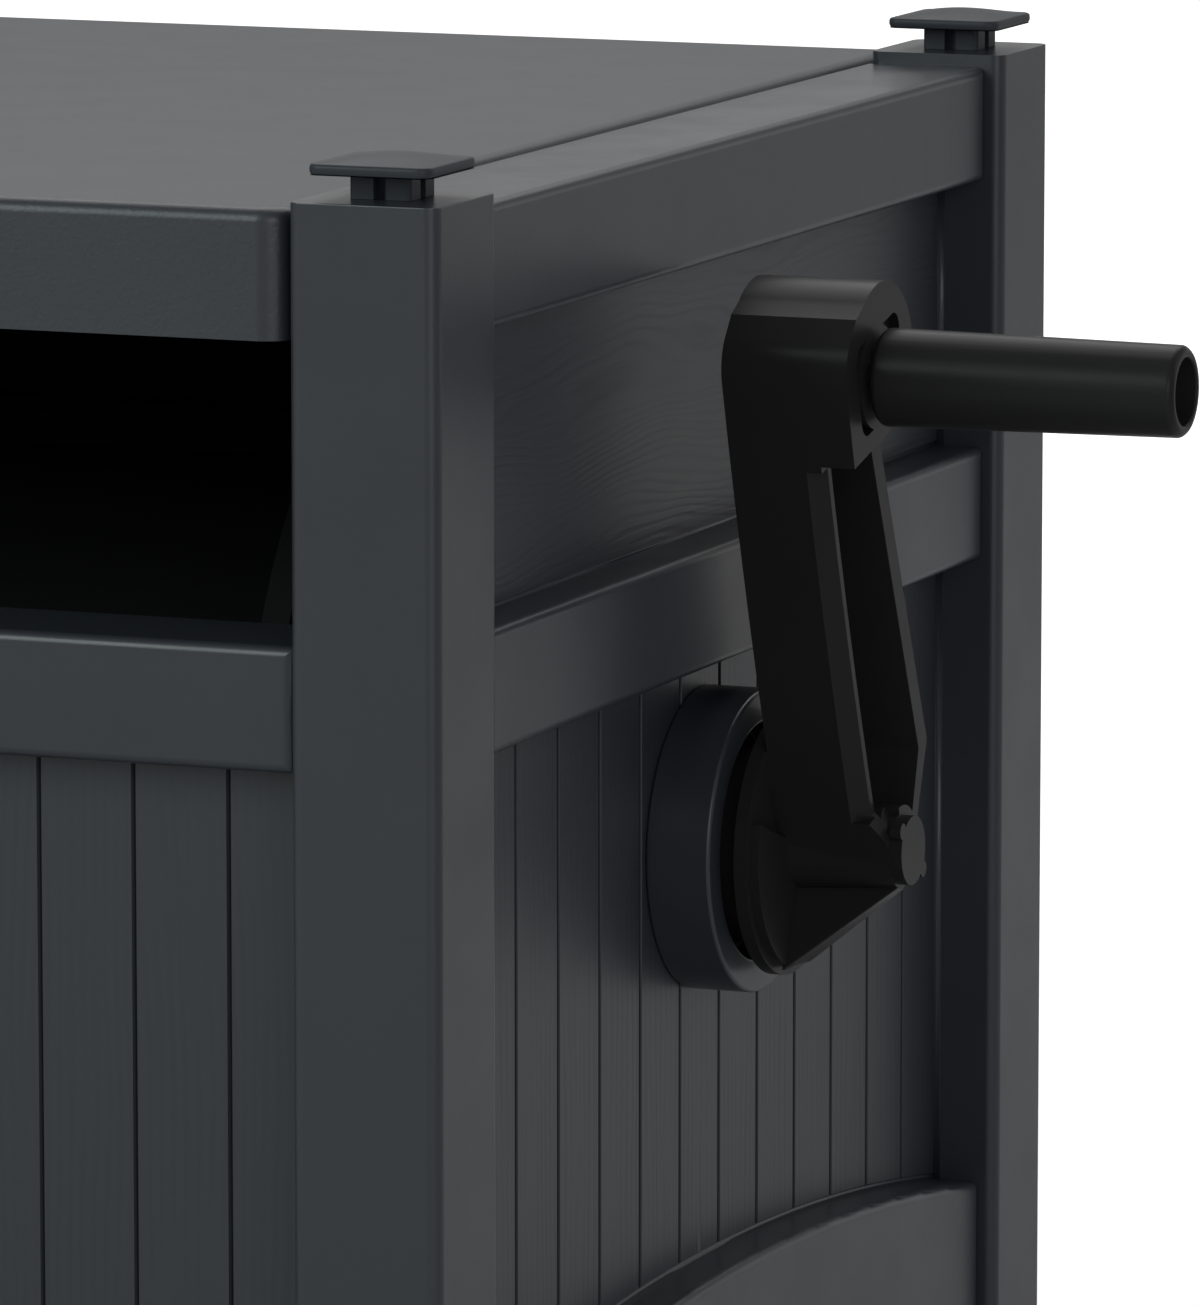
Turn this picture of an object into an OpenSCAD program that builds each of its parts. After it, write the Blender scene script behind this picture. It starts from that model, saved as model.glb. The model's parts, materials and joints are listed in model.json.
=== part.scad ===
// Hose reel box: a plank-walled garden box on four capped posts, with a hinged lid, a hose slot
// in its front, a reel inside and a crank on its right side.
// Frame: floor at z = 0 under the middle of the box, +X to the crank side, -Y to the front, +Z up.

/* [Box] */
// Width over the corner posts
box_w = 732; // [680:1:860]
// Depth over the corner posts
box_d = 516; // [490:1:600]
// Height of the post tops above the floor
post_h = 470; // [460:1:540]

/* [Posts and caps] */
// Side of a square corner post
post_s = 45; // [42:0.5:52]
// Corner radius of a post
post_r = 4; // [3.5:0.5:6]
// Wall of a post
post_wall = 3; // [2.4:0.2:4]
// Side of the pillow on a post cap
cap_s = 37; // [30:0.5:40]
// Height of the pillow's edge
cap_edge = 3.2; // [2.6:0.2:5]
// Rise of the pillow's crown above its edge
cap_crown = 2.2; // [1.4:0.2:3]
// Plan radius of the pillow's corners
cap_r = 4; // [2:0.5:6]
// Side of the stem under the pillow
stem_s = 18.5; // [16:0.5:22]
// Height of the stem between post and pillow
stem_h = 7.2; // [5:0.2:10]
// Width of the slot in each face of the stem
stem_slot = 3.6; // [2:0.2:5]
// Height of the glide under each post
foot_h = 4; // [3:0.5:8]
// Height of the plug that holds a glide or a cap in its post
plug_h = 14; // [8:1:20]

/* [Walls] */
// Rail faces behind the post faces
rail_set = 5.5; // [4:0.5:8]
// Panel faces behind the post faces
panel_set = 21; // [19:0.5:23]
// Thickness of the panels
panel_t = 4; // [3:0.5:5]
// Wall of the hollow rails
rail_wall = 3; // [2.4:0.2:4]
// Rounding of the rail edges
rail_r = 3; // [1.5:0.5:4]
// Height of the top and middle rails
rail_h = 36; // [32:0.5:40]
// Top of the side rails below the post tops
rail_drop = 4; // [3:0.5:6]
// Top of the middle rail below the post tops
mid_drop = 125.5; // [118:0.5:130]
// Crest of the bottom rail above the floor
arch_top = 122; // [112:1:130]
// Rise of the arch in the bottom rail
arch_rise = 17; // [12:1:22]
// Height of the bottom rail
arch_h = 75; // [60:1:80]
// How far a panel reaches into a post
tongue = 8; // [5:0.5:12]
// Width of one plank in the side walls
side_plank = 32; // [24:0.5:40]
// Width of one plank in the front and rear walls
front_plank = 28.1; // [22:0.1:36]
// Width of the groove between planks
groove_w = 2; // [1.2:0.1:3]
// Depth of the groove between planks
groove_d = 1.6; // [1:0.1:2]
// Width of the ledge that carries the lid
ledge_w = 12; // [8:0.5:16]
// Height of the tray's upstand
tray_h = 60; // [52:1:64]
// Thickness of the tray
tray_t = 4; // [3:0.5:6]
// Radius of a drain hole in the tray
drain_r = 5; // [3:0.5:8]

/* [Lid] */
// Lid top below the post tops
lid_drop = 2.5; // [1.5:0.5:4]
// Gap between lid and posts
lid_gap = 1.6; // [1:0.1:3]
// Lid front behind the post faces
lid_set = 2.5; // [1:0.5:5]
// Lid rear edge in front of the rear post faces
lid_rear_set = 6; // [4:0.5:10]
// Thickness of the lid
lid_t = 3; // [2.4:0.2:4]
// Height of the lip at the front of the lid
lip_h = 37; // [30:0.5:44]
// Plan radius of the lid's front corners
lid_corner_r = 9; // [7:0.5:14]
// Rounding of the lid's top edges
lid_edge_r = 4; // [3:0.5:5]
// Radius of the rolled rear edge that holds the hinge pins
hinge_r = 8; // [7:0.5:10]
// Radius of a hinge pin
pin_r = 3; // [2:0.1:4]
// How far a hinge pin reaches into the lid
pin_reach = 18; // [10:1:30]

/* [Reel] */
// Reel axis below the post tops
axis_drop = 218; // [214:1:222]
// Radius of the reel flanges
flange_r = 180; // [160:1:190]
// Thickness of a flange plate
flange_t = 4; // [3:0.5:6]
// Room between a flange and the side panel
flange_room = 71; // [66:1:100]
// Radius of the drum
drum_r = 108; // [80:1:120]
// Wall of the drum
drum_wall = 3; // [2.4:0.2:5]
// Radius of the journal in the crank bearing
journal_r = 20; // [18:0.5:21]
// Wall of the bearing bushes
bush_wall = 4; // [3:0.5:5]
// Radius of a tie rod through the drum
rod_r = 3; // [2:0.5:5]

/* [Bearing collars] */
// Outer radius of a collar
collar_r = 46; // [43:0.5:50]
// Height of a collar off the panel
collar_h = 20.5; // [18:0.5:26]
// Radius of the recess in a collar's front
recess_r = 36; // [34:0.5:39]
// Depth of the recess in a collar's front
recess_d = 12; // [9:0.5:14]
// Length of the collar's spigot inside the box
spigot_l = 12; // [10:0.5:20]
// Wall of the collar's spigot
spigot_wall = 6; // [4:0.5:8]

/* [Crank] */
// Lean of the crank arm towards the front
lean = 14; // [0:1:30]
// Distance from reel axis to grip axis
crank_len = 152; // [142:1:170]
// Radius of the crank disc
disc_r = 40; // [38:0.5:44]
// Inner face of the crank disc outside the post faces
disc_x = 5; // [3:0.5:7]
// Thickness of the crank disc
disc_t = 4; // [3:0.5:6]
// Thickness of the raised plate on the lower part of the disc
plate_t = 3; // [2:0.5:4]
// Upper edge of the raised plate beside the boss
plate_up = 7.5; // [4:0.5:10]
// Slope of that edge up to the rim
plate_slope = 33; // [25:1:45]
// Back of the arm above the disc
arm_up = 1; // [0.5:0.5:3]
// Depth of the arm
arm_d = 28.5; // [26:0.5:31]
// Depth of the head
head_d = 39; // [37:0.5:44]
// Wall of the arm
arm_wall = 7.5; // [6:0.1:8]
// Back plate of the arm
arm_back = 3.5; // [2.6:0.1:5]
// Front edge of the head in front of the grip axis
head_front = 26.4; // [25:0.2:29]
// Radius of the bow in the front edge of arm and head
bow_r = 1270; // [900:10:2000]
// Upper end of the bow above the grip axis
bow_up = 13; // [11:0.5:16]
// Bevel along the arm's front edge
bevel = 4.8; // [3:0.2:5.4]
// Rear edge of the arm under the head
arm_rear = 22; // [20:0.5:24]
// Rear edge of the arm where it is widest
arm_flare = 28; // [26:0.5:30]
// Height of that place above the reel axis
flare_up = 24.5; // [22:0.5:28]
// Radius of the head's round rear
head_r = 27; // [25.5:0.5:28.5]
// Middle of that round behind the grip axis
head_shift = 4; // [2:0.5:6]
// Lower edge of the head below the grip axis
head_fall = 19.5; // [18:0.5:22]
// Radius of the boss on the crank hub
boss_r = 13.5; // [12:0.5:15]
// Radius of the boss at its end
boss_end_r = 11.5; // [10.5:0.5:12]
// Boss end outside the post faces
boss_x = 44; // [42:0.5:48]
// Radius of the grip at its root
grip_r = 14.6; // [12:0.1:17]
// Radius of the grip at its end
grip_end_r = 13.6; // [11.5:0.1:15]
// Length of the grip
grip_l = 96; // [80:1:130]
// Radius of the grip's open bore
grip_bore_r = 10; // [8:0.1:11]
// Radius of the spindle in the grip
spindle_r = 5; // [4:0.1:6]

/* [Water inlet] */
// Outer radius of the pipe thread at the inlet and the outlet
thread_r = 13.2; // [13:0.1:13.4]
// Length of the pipe thread
thread_l = 16; // [12:0.5:24]
// Radius of the waterway
water_r = 8; // [6:0.1:8.5]
// Radius of the inlet tube inside the reel
tube_r = 12; // [11.5:0.1:12.5]

/* [Fits] */
// Radial running clearance of shafts and pins
run_gap = 0.05; // [0.02:0.01:0.1]
// Clearance of pieces that plug together
fit_gap = 0.15; // [0.1:0.05:0.3]
// End clearance of pieces that turn face to face
end_gap = 0.3; // [0.2:0.05:0.6]

/* [Hidden] */
$fn = 96;

anthracite = [0.22, 0.24, 0.25];
black = [0.08, 0.08, 0.08];
graphite = [0.16, 0.17, 0.18];
steel = [0.70, 0.71, 0.72];
brass = [0.74, 0.60, 0.32];
acetal = [0.88, 0.88, 0.85];
rubber = [0.05, 0.05, 0.05];

// How far a cut runs past the face it opens
over = 1;

// Half sizes and main levels
half_w = box_w / 2;
half_d = box_d / 2;
side_len = box_d - 2 * post_s;
front_len = box_w - 2 * post_s;
rail_d = post_s - rail_set;
rail_top = post_h - rail_drop;
mid_top = post_h - mid_drop;
axis_z = post_h - axis_drop;
plate_bottom = arch_top - arch_h / 2;
end_round = rail_r + 1;
bore_in_post = post_s - 2 * post_wall;
plug_s = stem_s - stem_slot * 2;
stem_r = 1.5;

// Lid and hinge
lid_w = box_w - 2 * (post_s + lid_gap);
lid_top = post_h - lid_drop;
lid_front = -half_d + lid_set;
hinge_y = half_d - lid_rear_set - hinge_r;
hinge_z = lid_top - hinge_r;
skirt_bottom = lid_top - 2 * hinge_r;
ledge_z = skirt_bottom - end_gap;
ledge_t = rail_wall;
lid_lift_room = 2;
rear_top = skirt_bottom - lid_lift_room;
lid_rib_h = 8;
lid_rib_t = 2.5;
pin_head_r = pin_r + 2.5;
pin_head_t = 2.5;

// Collars, bushes and shaft, as distances from the middle of the box
panel_face = half_w - panel_set;
panel_back = panel_face - panel_t;
collar_face = panel_face + collar_h;
recess_x = collar_face - recess_d;
spigot_x = panel_back - spigot_l;
bush_r = journal_r + run_gap + bush_wall;
spigot_r = bush_r + fit_gap + spigot_wall;
collar_nut_w = 9;
collar_nut_r = spigot_r + collar_nut_w;
nut_notch_r = 3;
flange_x = panel_back - flange_room;
flange_out = flange_x + flange_t;
hub_l = 16;
hub_out = flange_out + hub_l;
hub_r = 45;
shaft_plate_t = 6;
shoulder_r = journal_r + 6;
neck_r = 30;
neck_x = recess_x + end_gap;
drive_s = 22;
drive_reach = 1.5;
drive_end = half_w + disc_x + drive_reach;
flange_bore_r = 8;
centre_ring_l = 8;
screw_r = 2.5;
screw_ring_r = 35;
screw_head_r = 4.5;
screw_head_t = 3;
screw_tip_room = 2;
rod_nut_t = 5;
rod_end = 2;
rod_ring_r = drum_r - 4 * drum_wall - 2 * rod_r - rod_end * 2;
// Turn of the tie rods that puts them between the flange ribs and clear of the outlet
rod_turn = 15;

// Corner over flat of a hexagonal nut, against the radius of its thread
nut_ratio = 1.9;

// Crank and grip, x from the post faces
arm_x = disc_x + disc_t + arm_up;
lip_x = arm_x + arm_d;
head_x = arm_x + head_d;
head_low = crank_len - head_fall;
// Lower end of the front lip, and where its edge runs out on the boss
lip_low = 14.5;
lip_end = 6.5;
// Wall beside the boss
foot_wall = 5;
// Recess in the head's face
face_recess = 3;
face_w = 37;
face_h = 28;
face_r = 5;
// Crown of the head between its bow and its round rear
crown_front = 14;
crown_up = 23;
// Circle that the bow belongs to, through the boss and the head's front
bow_from = [-boss_end_r, 0];
bow_to = [-head_front, crank_len + bow_up];
bow_half = norm(bow_to - bow_from) / 2;
bow_side = [bow_to[1] - bow_from[1], bow_from[0] - bow_to[0]] / (2 * bow_half);
bow_mid = (bow_from + bow_to) / 2 + bow_side * sqrt(bow_r * bow_r - bow_half * bow_half);
grip_stand = 1.5;
tail_room = 2;
grip_x = half_w + arm_x + head_d + grip_stand + end_gap;
grip_web = 34;
spindle_head_r = 8.5;
spindle_head_t = 6;
spindle_head_x = grip_x + grip_web + end_gap;
bolt_r = 4;
bolt_head_r = 7;
bolt_head_t = 7;
bolt_seat_up = 8;
bolt_seat_x = half_w + disc_x + disc_t + bolt_seat_up;
bolt_below = 40;
bolt_tip_x = half_w - bolt_below;
bolt_tip_room = 5;
bolt_seat_r = bolt_head_r + 1;
nut_seat_r = 11;
nut_seat_d = 7;
nut_post_wall = 3;

// Water inlet
stem_out_r = 15;
flange_hex_r = 22;
flange_hex_t = 8;
lock_nut_t = 8;
tube_end = flange_x - 30;
elbow_r = 20;
elbow_l = 62;
elbow_branch_r = 15;
seal_gap = 0.4;
elbow_bore_r = tube_r + seal_gap;
axial_water_r = water_r - 0.5;
ring_r = 0.95;
ring_at = [8, 18];
outlet_angle = 225;
outlet_flange_r = 18;
outlet_foot = drum_r - drum_wall - 12;
outlet_spigot_r = 11;
outlet_spigot_l = 10;
outlet_hex_t = 9;

function corner_x(sx) = sx * (half_w - post_s / 2);
function corner_y(sy) = sy * (half_d - post_s / 2);

// Flat shapes

// Rectangle about the origin with four round corners
module round_rect(w, h, r) {
    square([w - 2 * r, h], center = true);
    square([w, h - 2 * r], center = true);
    for (sx = [-1, 1], sy = [-1, 1])
        translate([sx * (w / 2 - r), sy * (h / 2 - r)]) circle(r);
}

// Bar section from the origin, its two corners at depth 0 rounded
module bar_section(depth, h, r) {
    translate([r, 0]) square([depth - r, h]);
    translate([0, r]) square([depth, h - 2 * r]);
    for (z = [r, h - r]) translate([r, z]) circle(r);
}

// Plan of a rail of length len between two posts, round at its outer ends
module rail_plan(len) {
    translate([-len / 2 + end_round, rail_set]) square([len - 2 * end_round, rail_d]);
    translate([-len / 2, rail_set + end_round]) square([len, rail_d - end_round]);
    for (sx = [-1, 1])
        translate([sx * (len / 2 - end_round), rail_set + end_round]) circle(end_round);
}

// Extrudes a flat shape along +X: the shape's x becomes Y and its y becomes Z
module along_x(l) {
    rotate([90, 0, 90]) linear_extrude(l) children();
}

// Cylinder along +X from x0 to x1 on the reel axis
module axis_rod(r, x0, x1) {
    translate([x0, 0, axis_z]) rotate([0, 90, 0]) cylinder(r = r, h = x1 - x0);
}

// Hexagonal prism along +X on the reel axis
module axis_hex(r, x0, x1) {
    translate([x0, 0, axis_z]) rotate([0, 90, 0]) cylinder(r = r, h = x1 - x0, $fn = 6);
}

// Posts, caps and feet

module post(sx, sy) {
    slot = panel_t + 2 * fit_gap;
    slot_at = post_s / 2 - panel_set - panel_t / 2;
    side_top = rail_top - rail_wall;
    color(anthracite)
    translate([corner_x(sx), corner_y(sy), 0])
    difference() {
        translate([0, 0, foot_h]) linear_extrude(post_h - foot_h) round_rect(post_s, post_s, post_r);
        translate([0, 0, foot_h - over])
            linear_extrude(post_h - foot_h - post_wall + over) square(bore_in_post, center = true);
        translate([0, 0, post_h - post_wall - over])
            linear_extrude(post_wall + 2 * over) square(plug_s + 2 * fit_gap, center = true);
        // slots for the tongues of the two walls
        translate([-sx * post_s / 2, sy * slot_at, (plate_bottom + wall_top(sy)) / 2])
            cube([2 * post_wall + over, slot, wall_top(sy) - plate_bottom + 2 * fit_gap], center = true);
        translate([sx * slot_at, -sy * post_s / 2, (plate_bottom + side_top) / 2])
            cube([slot, 2 * post_wall + over, side_top - plate_bottom + 2 * fit_gap], center = true);
        // hole for the hinge pin
        if (sy > 0)
            translate([-sx * post_s / 2, hinge_y - corner_y(sy), hinge_z])
                rotate([0, 90, 0]) cylinder(r = pin_r + run_gap, h = 2 * post_wall + over, center = true);
    }
}

// Top of the plate in the front wall (sy < 0) or the rear wall (sy > 0)
function wall_top(sy) = sy < 0 ? mid_top - rail_wall : rear_top - rail_wall;

module cap(sx, sy) {
    crown_r = (pow(cap_s / 2, 2) + pow(cap_crown, 2)) / (2 * cap_crown);
    top = post_h + stem_h + cap_edge + cap_crown;
    color(anthracite)
    translate([corner_x(sx), corner_y(sy), 0]) {
        // pillow
        intersection() {
            translate([0, 0, post_h + stem_h])
                linear_extrude(cap_edge + cap_crown) round_rect(cap_s, cap_s, cap_r);
            crown_arch(top - crown_r, crown_r, 0);
            crown_arch(top - crown_r, crown_r, 90);
        }
        // slotted stem
        difference() {
            translate([0, 0, post_h]) linear_extrude(stem_h) round_rect(stem_s, stem_s, stem_r);
            for (a = [0, 90])
                rotate(a) translate([-stem_s, -stem_slot / 2, post_h - over])
                    cube([2 * stem_s, stem_slot, stem_h + over]);
        }
        translate([0, 0, post_h - plug_h]) linear_extrude(plug_h + stem_h) square(plug_s, center = true);
    }
}

// Lying cylinder that arches a pillow one way
module crown_arch(z, r, turn) {
    translate([0, 0, z]) rotate(turn) rotate([90, 0, 0])
        cylinder(r = r, h = 2 * cap_s, center = true, $fn = 360);
}

module foot(sx, sy) {
    color(black)
    translate([corner_x(sx), corner_y(sy), 0]) {
        linear_extrude(foot_h) round_rect(post_s, post_s, post_r);
        linear_extrude(foot_h + plug_h) square(bore_in_post - 2 * fit_gap, center = true);
    }
}

// Walls: x runs along the wall, y from the post faces into the box

// Outer form of a straight rail from z0 up
module rail_form(len, z0, h) {
    intersection() {
        translate([-len / 2, rail_set, z0]) along_x(len) bar_section(rail_d, h, rail_r);
        translate([0, 0, z0 - over]) linear_extrude(h + 2 * over) rail_plan(len);
    }
}

// Middle rail: a channel open to the inside
module mid_rail(len) {
    inner = len - 2 * rail_wall;
    difference() {
        rail_form(len, mid_top - rail_h, rail_h);
        translate([-inner / 2, rail_set + rail_wall, mid_top - rail_h + rail_wall])
            cube([inner, rail_d, rail_h - 2 * rail_wall]);
    }
}

// Top rail: a channel open downwards
module top_rail(len, top) {
    inner = len - 2 * rail_wall;
    difference() {
        rail_form(len, top - rail_h, rail_h);
        translate([-inner / 2, rail_set + rail_wall, top - rail_h - over])
            cube([inner, rail_d - 2 * rail_wall, rail_h - rail_wall + over]);
    }
}

// Bottom rail: a channel between two arcs about one centre
module arched_rail(len) {
    arch_r = len * len / (8 * arch_rise) + arch_rise / 2;
    inner = len - 2 * rail_wall;
    difference() {
        intersection() {
            translate([0, 0, arch_top - arch_r]) rotate([-90, 0, 0])
                rotate_extrude($fn = 720)
                    translate([arch_r, rail_set]) rotate(90) bar_section(rail_d, arch_h, rail_r);
            linear_extrude(arch_top + over) rail_plan(len);
        }
        intersection() {
            translate([0, 0, arch_top - arch_r]) rotate([-90, 0, 0])
                rotate_extrude($fn = 720)
                    translate([arch_r - arch_h + rail_wall, rail_set + rail_wall])
                        square([arch_h - 2 * rail_wall, rail_d]);
            translate([-inner / 2, 0, 0]) cube([inner, 2 * post_s, arch_top + over]);
        }
    }
}

// Plate with a tongue at each end, grooved into planks below the middle rail
module plank_plate(len, top, plank) {
    count = floor((len / 2 - groove_w) / plank);
    flare = groove_w / 2 * (1 + over / groove_d);
    difference() {
        translate([-len / 2 - tongue, panel_set, plate_bottom])
            cube([len + 2 * tongue, panel_t, top - plate_bottom]);
        for (i = [-count : count])
            translate([i * plank, panel_set, plate_bottom - over])
                linear_extrude(mid_top - rail_h - plate_bottom + 2 * over)
                    polygon([[-flare, -over], [flare, -over], [0, groove_d]]);
    }
}

module front_wall() {
    mid_rail(front_len);
    arched_rail(front_len);
    plank_plate(front_len, wall_top(-1), front_plank);
}

module rear_wall() {
    top_rail(front_len, rear_top);
    mid_rail(front_len);
    arched_rail(front_len);
    plank_plate(front_len, wall_top(1), front_plank);
}

// Side wall with the ledge for the lid and the hole for its collar
module side_wall() {
    difference() {
        union() {
            top_rail(side_len, rail_top);
            mid_rail(side_len);
            arched_rail(side_len);
            plank_plate(side_len, rail_top - rail_wall, side_plank);
            translate([-side_len / 2, post_s - rail_wall, ledge_z - ledge_t])
                cube([side_len, ledge_w + rail_wall, ledge_t]);
        }
        translate([0, 0, axis_z]) rotate([-90, 0, 0]) cylinder(r = spigot_r + fit_gap, h = post_s);
    }
}

module front_panel() {
    color(anthracite) translate([0, -half_d, 0]) front_wall();
}

module rear_panel() {
    color(anthracite) translate([0, half_d, 0]) rotate(180) rear_wall();
}

module left_side_panel() {
    color(anthracite) translate([-half_w, 0, 0]) rotate(-90) side_wall();
}

module right_side_panel() {
    color(anthracite) translate([half_w, 0, 0]) rotate(90) side_wall();
}

// Tray between the walls: flat underneath, ribbed inside, with drain holes
module base_tray() {
    w = front_len - 2 * fit_gap;
    d = side_len - 2 * fit_gap;
    rib_h = 6;
    color(graphite)
    difference() {
        union() {
            difference() {
                translate([-w / 2, -d / 2, 0]) cube([w, d, tray_h]);
                translate([-w / 2 + tray_t, -d / 2 + tray_t, tray_t])
                    cube([w - 2 * tray_t, d - 2 * tray_t, tray_h]);
            }
            for (i = [-2 : 2])
                translate([i * w / 6 - tray_t / 2, -d / 2 + tray_t / 2, tray_t / 2])
                    cube([tray_t, d - tray_t, tray_t / 2 + rib_h]);
        }
        for (i = [-2.5 : 2.5], sy = [-1, 1])
            translate([i * w / 6, sy * d / 4, -over]) cylinder(r = drain_r, h = tray_t + 2 * over);
    }
}

// Lid

// Ring of the given radius whose edge is rounded by edge_r
module round_edge(r, edge_r) {
    rotate_extrude($fn = 32) translate([r - edge_r, 0]) circle(edge_r, $fn = 24);
}

module lid() {
    front_x = lid_w / 2 - lid_corner_r;
    front_y = lid_front + lid_corner_r;
    inside_w = lid_w - 2 * lid_t;
    inside_d = hinge_y - hinge_r - lid_front - lid_t;
    color(anthracite)
    difference() {
        union() {
            difference() {
                // plate and skirt with rounded edges, rolled at the rear
                hull() for (sx = [-1, 1]) {
                    translate([sx * front_x, front_y, lid_top - lid_edge_r])
                        round_edge(lid_corner_r, lid_edge_r);
                    translate([sx * front_x, front_y, skirt_bottom])
                        cylinder(r = lid_corner_r, h = lid_edge_r, $fn = 32);
                    translate([sx * (lid_w / 2 - lid_edge_r), hinge_y, hinge_z])
                        rotate([0, 90, 0]) round_edge(hinge_r, lid_edge_r);
                }
                translate([-inside_w / 2, lid_front + lid_t, skirt_bottom - over])
                    cube([inside_w, inside_d, 2 * hinge_r - lid_t + over]);
            }
            lid_lip(front_x, front_y);
            lid_ribs(inside_w, inside_d);
        }
        for (sx = [-1, 1])
            translate([sx * (lid_w / 2 + over), hinge_y, hinge_z]) rotate([0, -sx * 90, 0])
                cylinder(r = pin_r + run_gap, h = pin_reach + over + end_gap);
    }
}

// Lip that hangs down in front and turns round both corners
module lid_lip(front_x, front_y) {
    translate([0, 0, lid_top - lip_h])
    linear_extrude(lip_h - 2 * hinge_r + lid_t)
    difference() {
        union() {
            translate([-front_x, lid_front]) square([2 * front_x, lid_corner_r]);
            for (sx = [-1, 1]) translate([sx * front_x, front_y]) circle(lid_corner_r, $fn = 32);
        }
        translate([-front_x, lid_front + lid_t]) square([2 * front_x, 2 * lid_corner_r]);
        for (sx = [-1, 1]) translate([sx * front_x, front_y]) circle(lid_corner_r - lid_t);
        translate([-lid_w / 2, front_y]) square([lid_w, lid_corner_r + over]);
    }
}

module lid_ribs(inside_w, inside_d) {
    z = lid_top - lid_t - lid_rib_h;
    for (i = [-2 : 2])
        translate([i * inside_w / 6 - lid_rib_t / 2, lid_front + lid_t, z])
            cube([lid_rib_t, inside_d, lid_rib_h + lid_t / 2]);
    for (i = [1 : 3])
        translate([-inside_w / 2, lid_front + lid_t + i * inside_d / 4 - lid_rib_t / 2, z])
            cube([inside_w, lid_rib_t, lid_rib_h + lid_t / 2]);
}

module lid_hinge_pins() {
    wall_x = half_w - post_s + post_wall;
    color(steel)
    for (sx = [-1, 1])
        translate([sx * wall_x, hinge_y, hinge_z]) {
            rotate([0, sx * 90, 0]) cylinder(r = pin_head_r, h = pin_head_t);
            rotate([0, -sx * 90, 0]) cylinder(r = pin_r, h = post_wall + lid_gap + pin_reach);
        }
}

// Bearing collars: modelled on the +X side

module collar_form() {
    difference() {
        union() {
            axis_rod(collar_r, panel_face, collar_face);
            axis_rod(spigot_r, spigot_x, panel_face + over);
        }
        axis_rod(recess_r, recess_x, collar_face + over);
        axis_rod(bush_r + fit_gap, spigot_x - over, recess_x + over);
    }
}

module collar_nut_form() {
    nut_x = spigot_x + 1;
    difference() {
        axis_rod(collar_nut_r, nut_x, panel_back);
        axis_rod(spigot_r + fit_gap, nut_x - over, panel_back + over);
        for (a = [0 : 30 : 330])
            translate([0, 0, axis_z]) rotate([a, 0, 0])
                translate([nut_x - over, 0, collar_nut_r])
                    rotate([0, 90, 0]) cylinder(r = nut_notch_r, h = panel_back - nut_x + 2 * over);
    }
}

// Bush for a shaft of radius r, held in a collar
module bush_form(r) {
    difference() {
        axis_rod(bush_r, spigot_x, recess_x);
        axis_rod(r, spigot_x - over, recess_x + over);
    }
}

module crank_collar() {
    color(anthracite) collar_form();
}

module crank_collar_nut() {
    color(black) collar_nut_form();
}

module crank_bush() {
    color(acetal) bush_form(journal_r + run_gap);
}

module inlet_collar() {
    color(anthracite) mirror([1, 0, 0]) collar_form();
}

module inlet_collar_nut() {
    color(black) mirror([1, 0, 0]) collar_nut_form();
}

module inlet_bush() {
    color(acetal) mirror([1, 0, 0]) bush_form(stem_out_r + fit_gap);
}

// Water inlet: a fixed tube on the reel axis, modelled on the +X side and mirrored

module inlet_tube() {
    color(brass)
    mirror([1, 0, 0])
    difference() {
        union() {
            axis_rod(thread_r, recess_x, recess_x + flange_hex_t + thread_l);
            axis_hex(flange_hex_r, recess_x, recess_x + flange_hex_t);
            axis_rod(stem_out_r, hub_out + end_gap, recess_x);
            axis_rod(tube_r, tube_end, hub_out + end_gap + over);
        }
        axis_rod(water_r, tube_end - over, half_w + collar_h + thread_l);
        for (at = ring_at) ring_groove(tube_end + at);
    }
}

// Groove for a sealing ring at x on the inlet tube
module ring_groove(x) {
    w = 2 * (ring_r + run_gap);
    difference() {
        axis_rod(tube_r + over, x - w / 2, x + w / 2);
        axis_rod(elbow_bore_r - 2 * (ring_r + run_gap), x - w, x + w);
    }
}

module inlet_o_rings() {
    color(rubber)
    mirror([1, 0, 0])
    for (at = ring_at)
        translate([tube_end + at, 0, axis_z]) rotate([0, 90, 0])
            rotate_extrude() translate([elbow_bore_r - run_gap - ring_r, 0]) circle(ring_r, $fn = 24);
}

module inlet_lock_nut() {
    color(brass)
    mirror([1, 0, 0])
    difference() {
        axis_hex(flange_hex_r, spigot_x - lock_nut_t, spigot_x);
        axis_rod(stem_out_r + run_gap, spigot_x - lock_nut_t - over, spigot_x + over);
    }
}

// Reel

// Flange with its rim, ribs, windows and hub, on the +X side
module flange_form(hub_bore) {
    rim = 5;
    rib_t = 3;
    rib_d = 9;
    windows = 6;
    window_r = 10;
    window_at = (drum_r + flange_r) / 2;
    difference() {
        union() {
            axis_rod(flange_r, flange_x, flange_out);
            difference() {
                axis_rod(flange_r, flange_x, flange_out + rim);
                axis_rod(flange_r - rim, flange_x - over, flange_out + rim + over);
            }
            axis_rod(hub_r, flange_x, hub_out);
            for (a = [0 : 30 : 330])
                translate([0, 0, axis_z]) rotate([a, 0, 0])
                    translate([flange_out - over, -rib_t / 2, hub_r - over])
                        cube([rib_d + over, rib_t, flange_r - rim - hub_r + 2 * over]);
            // ring that centres the drum
            axis_rod(drum_r - drum_wall - fit_gap, flange_x - centre_ring_l, flange_x + over);
        }
        axis_rod(drum_r - 3 * drum_wall, flange_x - centre_ring_l - over, flange_x);
        axis_rod(hub_bore, flange_x - over, hub_out + over);
        for (i = [0 : windows - 1])
            translate([0, 0, axis_z]) rotate([i * 360 / windows + rod_turn, 0, 0])
                translate([flange_x - over, 0, window_at])
                    rotate([0, 90, 0]) cylinder(r = window_r, h = flange_t + 2 * over);
        at_rods() translate([0, 0, flange_x - over]) cylinder(r = rod_r + fit_gap, h = flange_t + 2 * over);
    }
}

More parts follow.
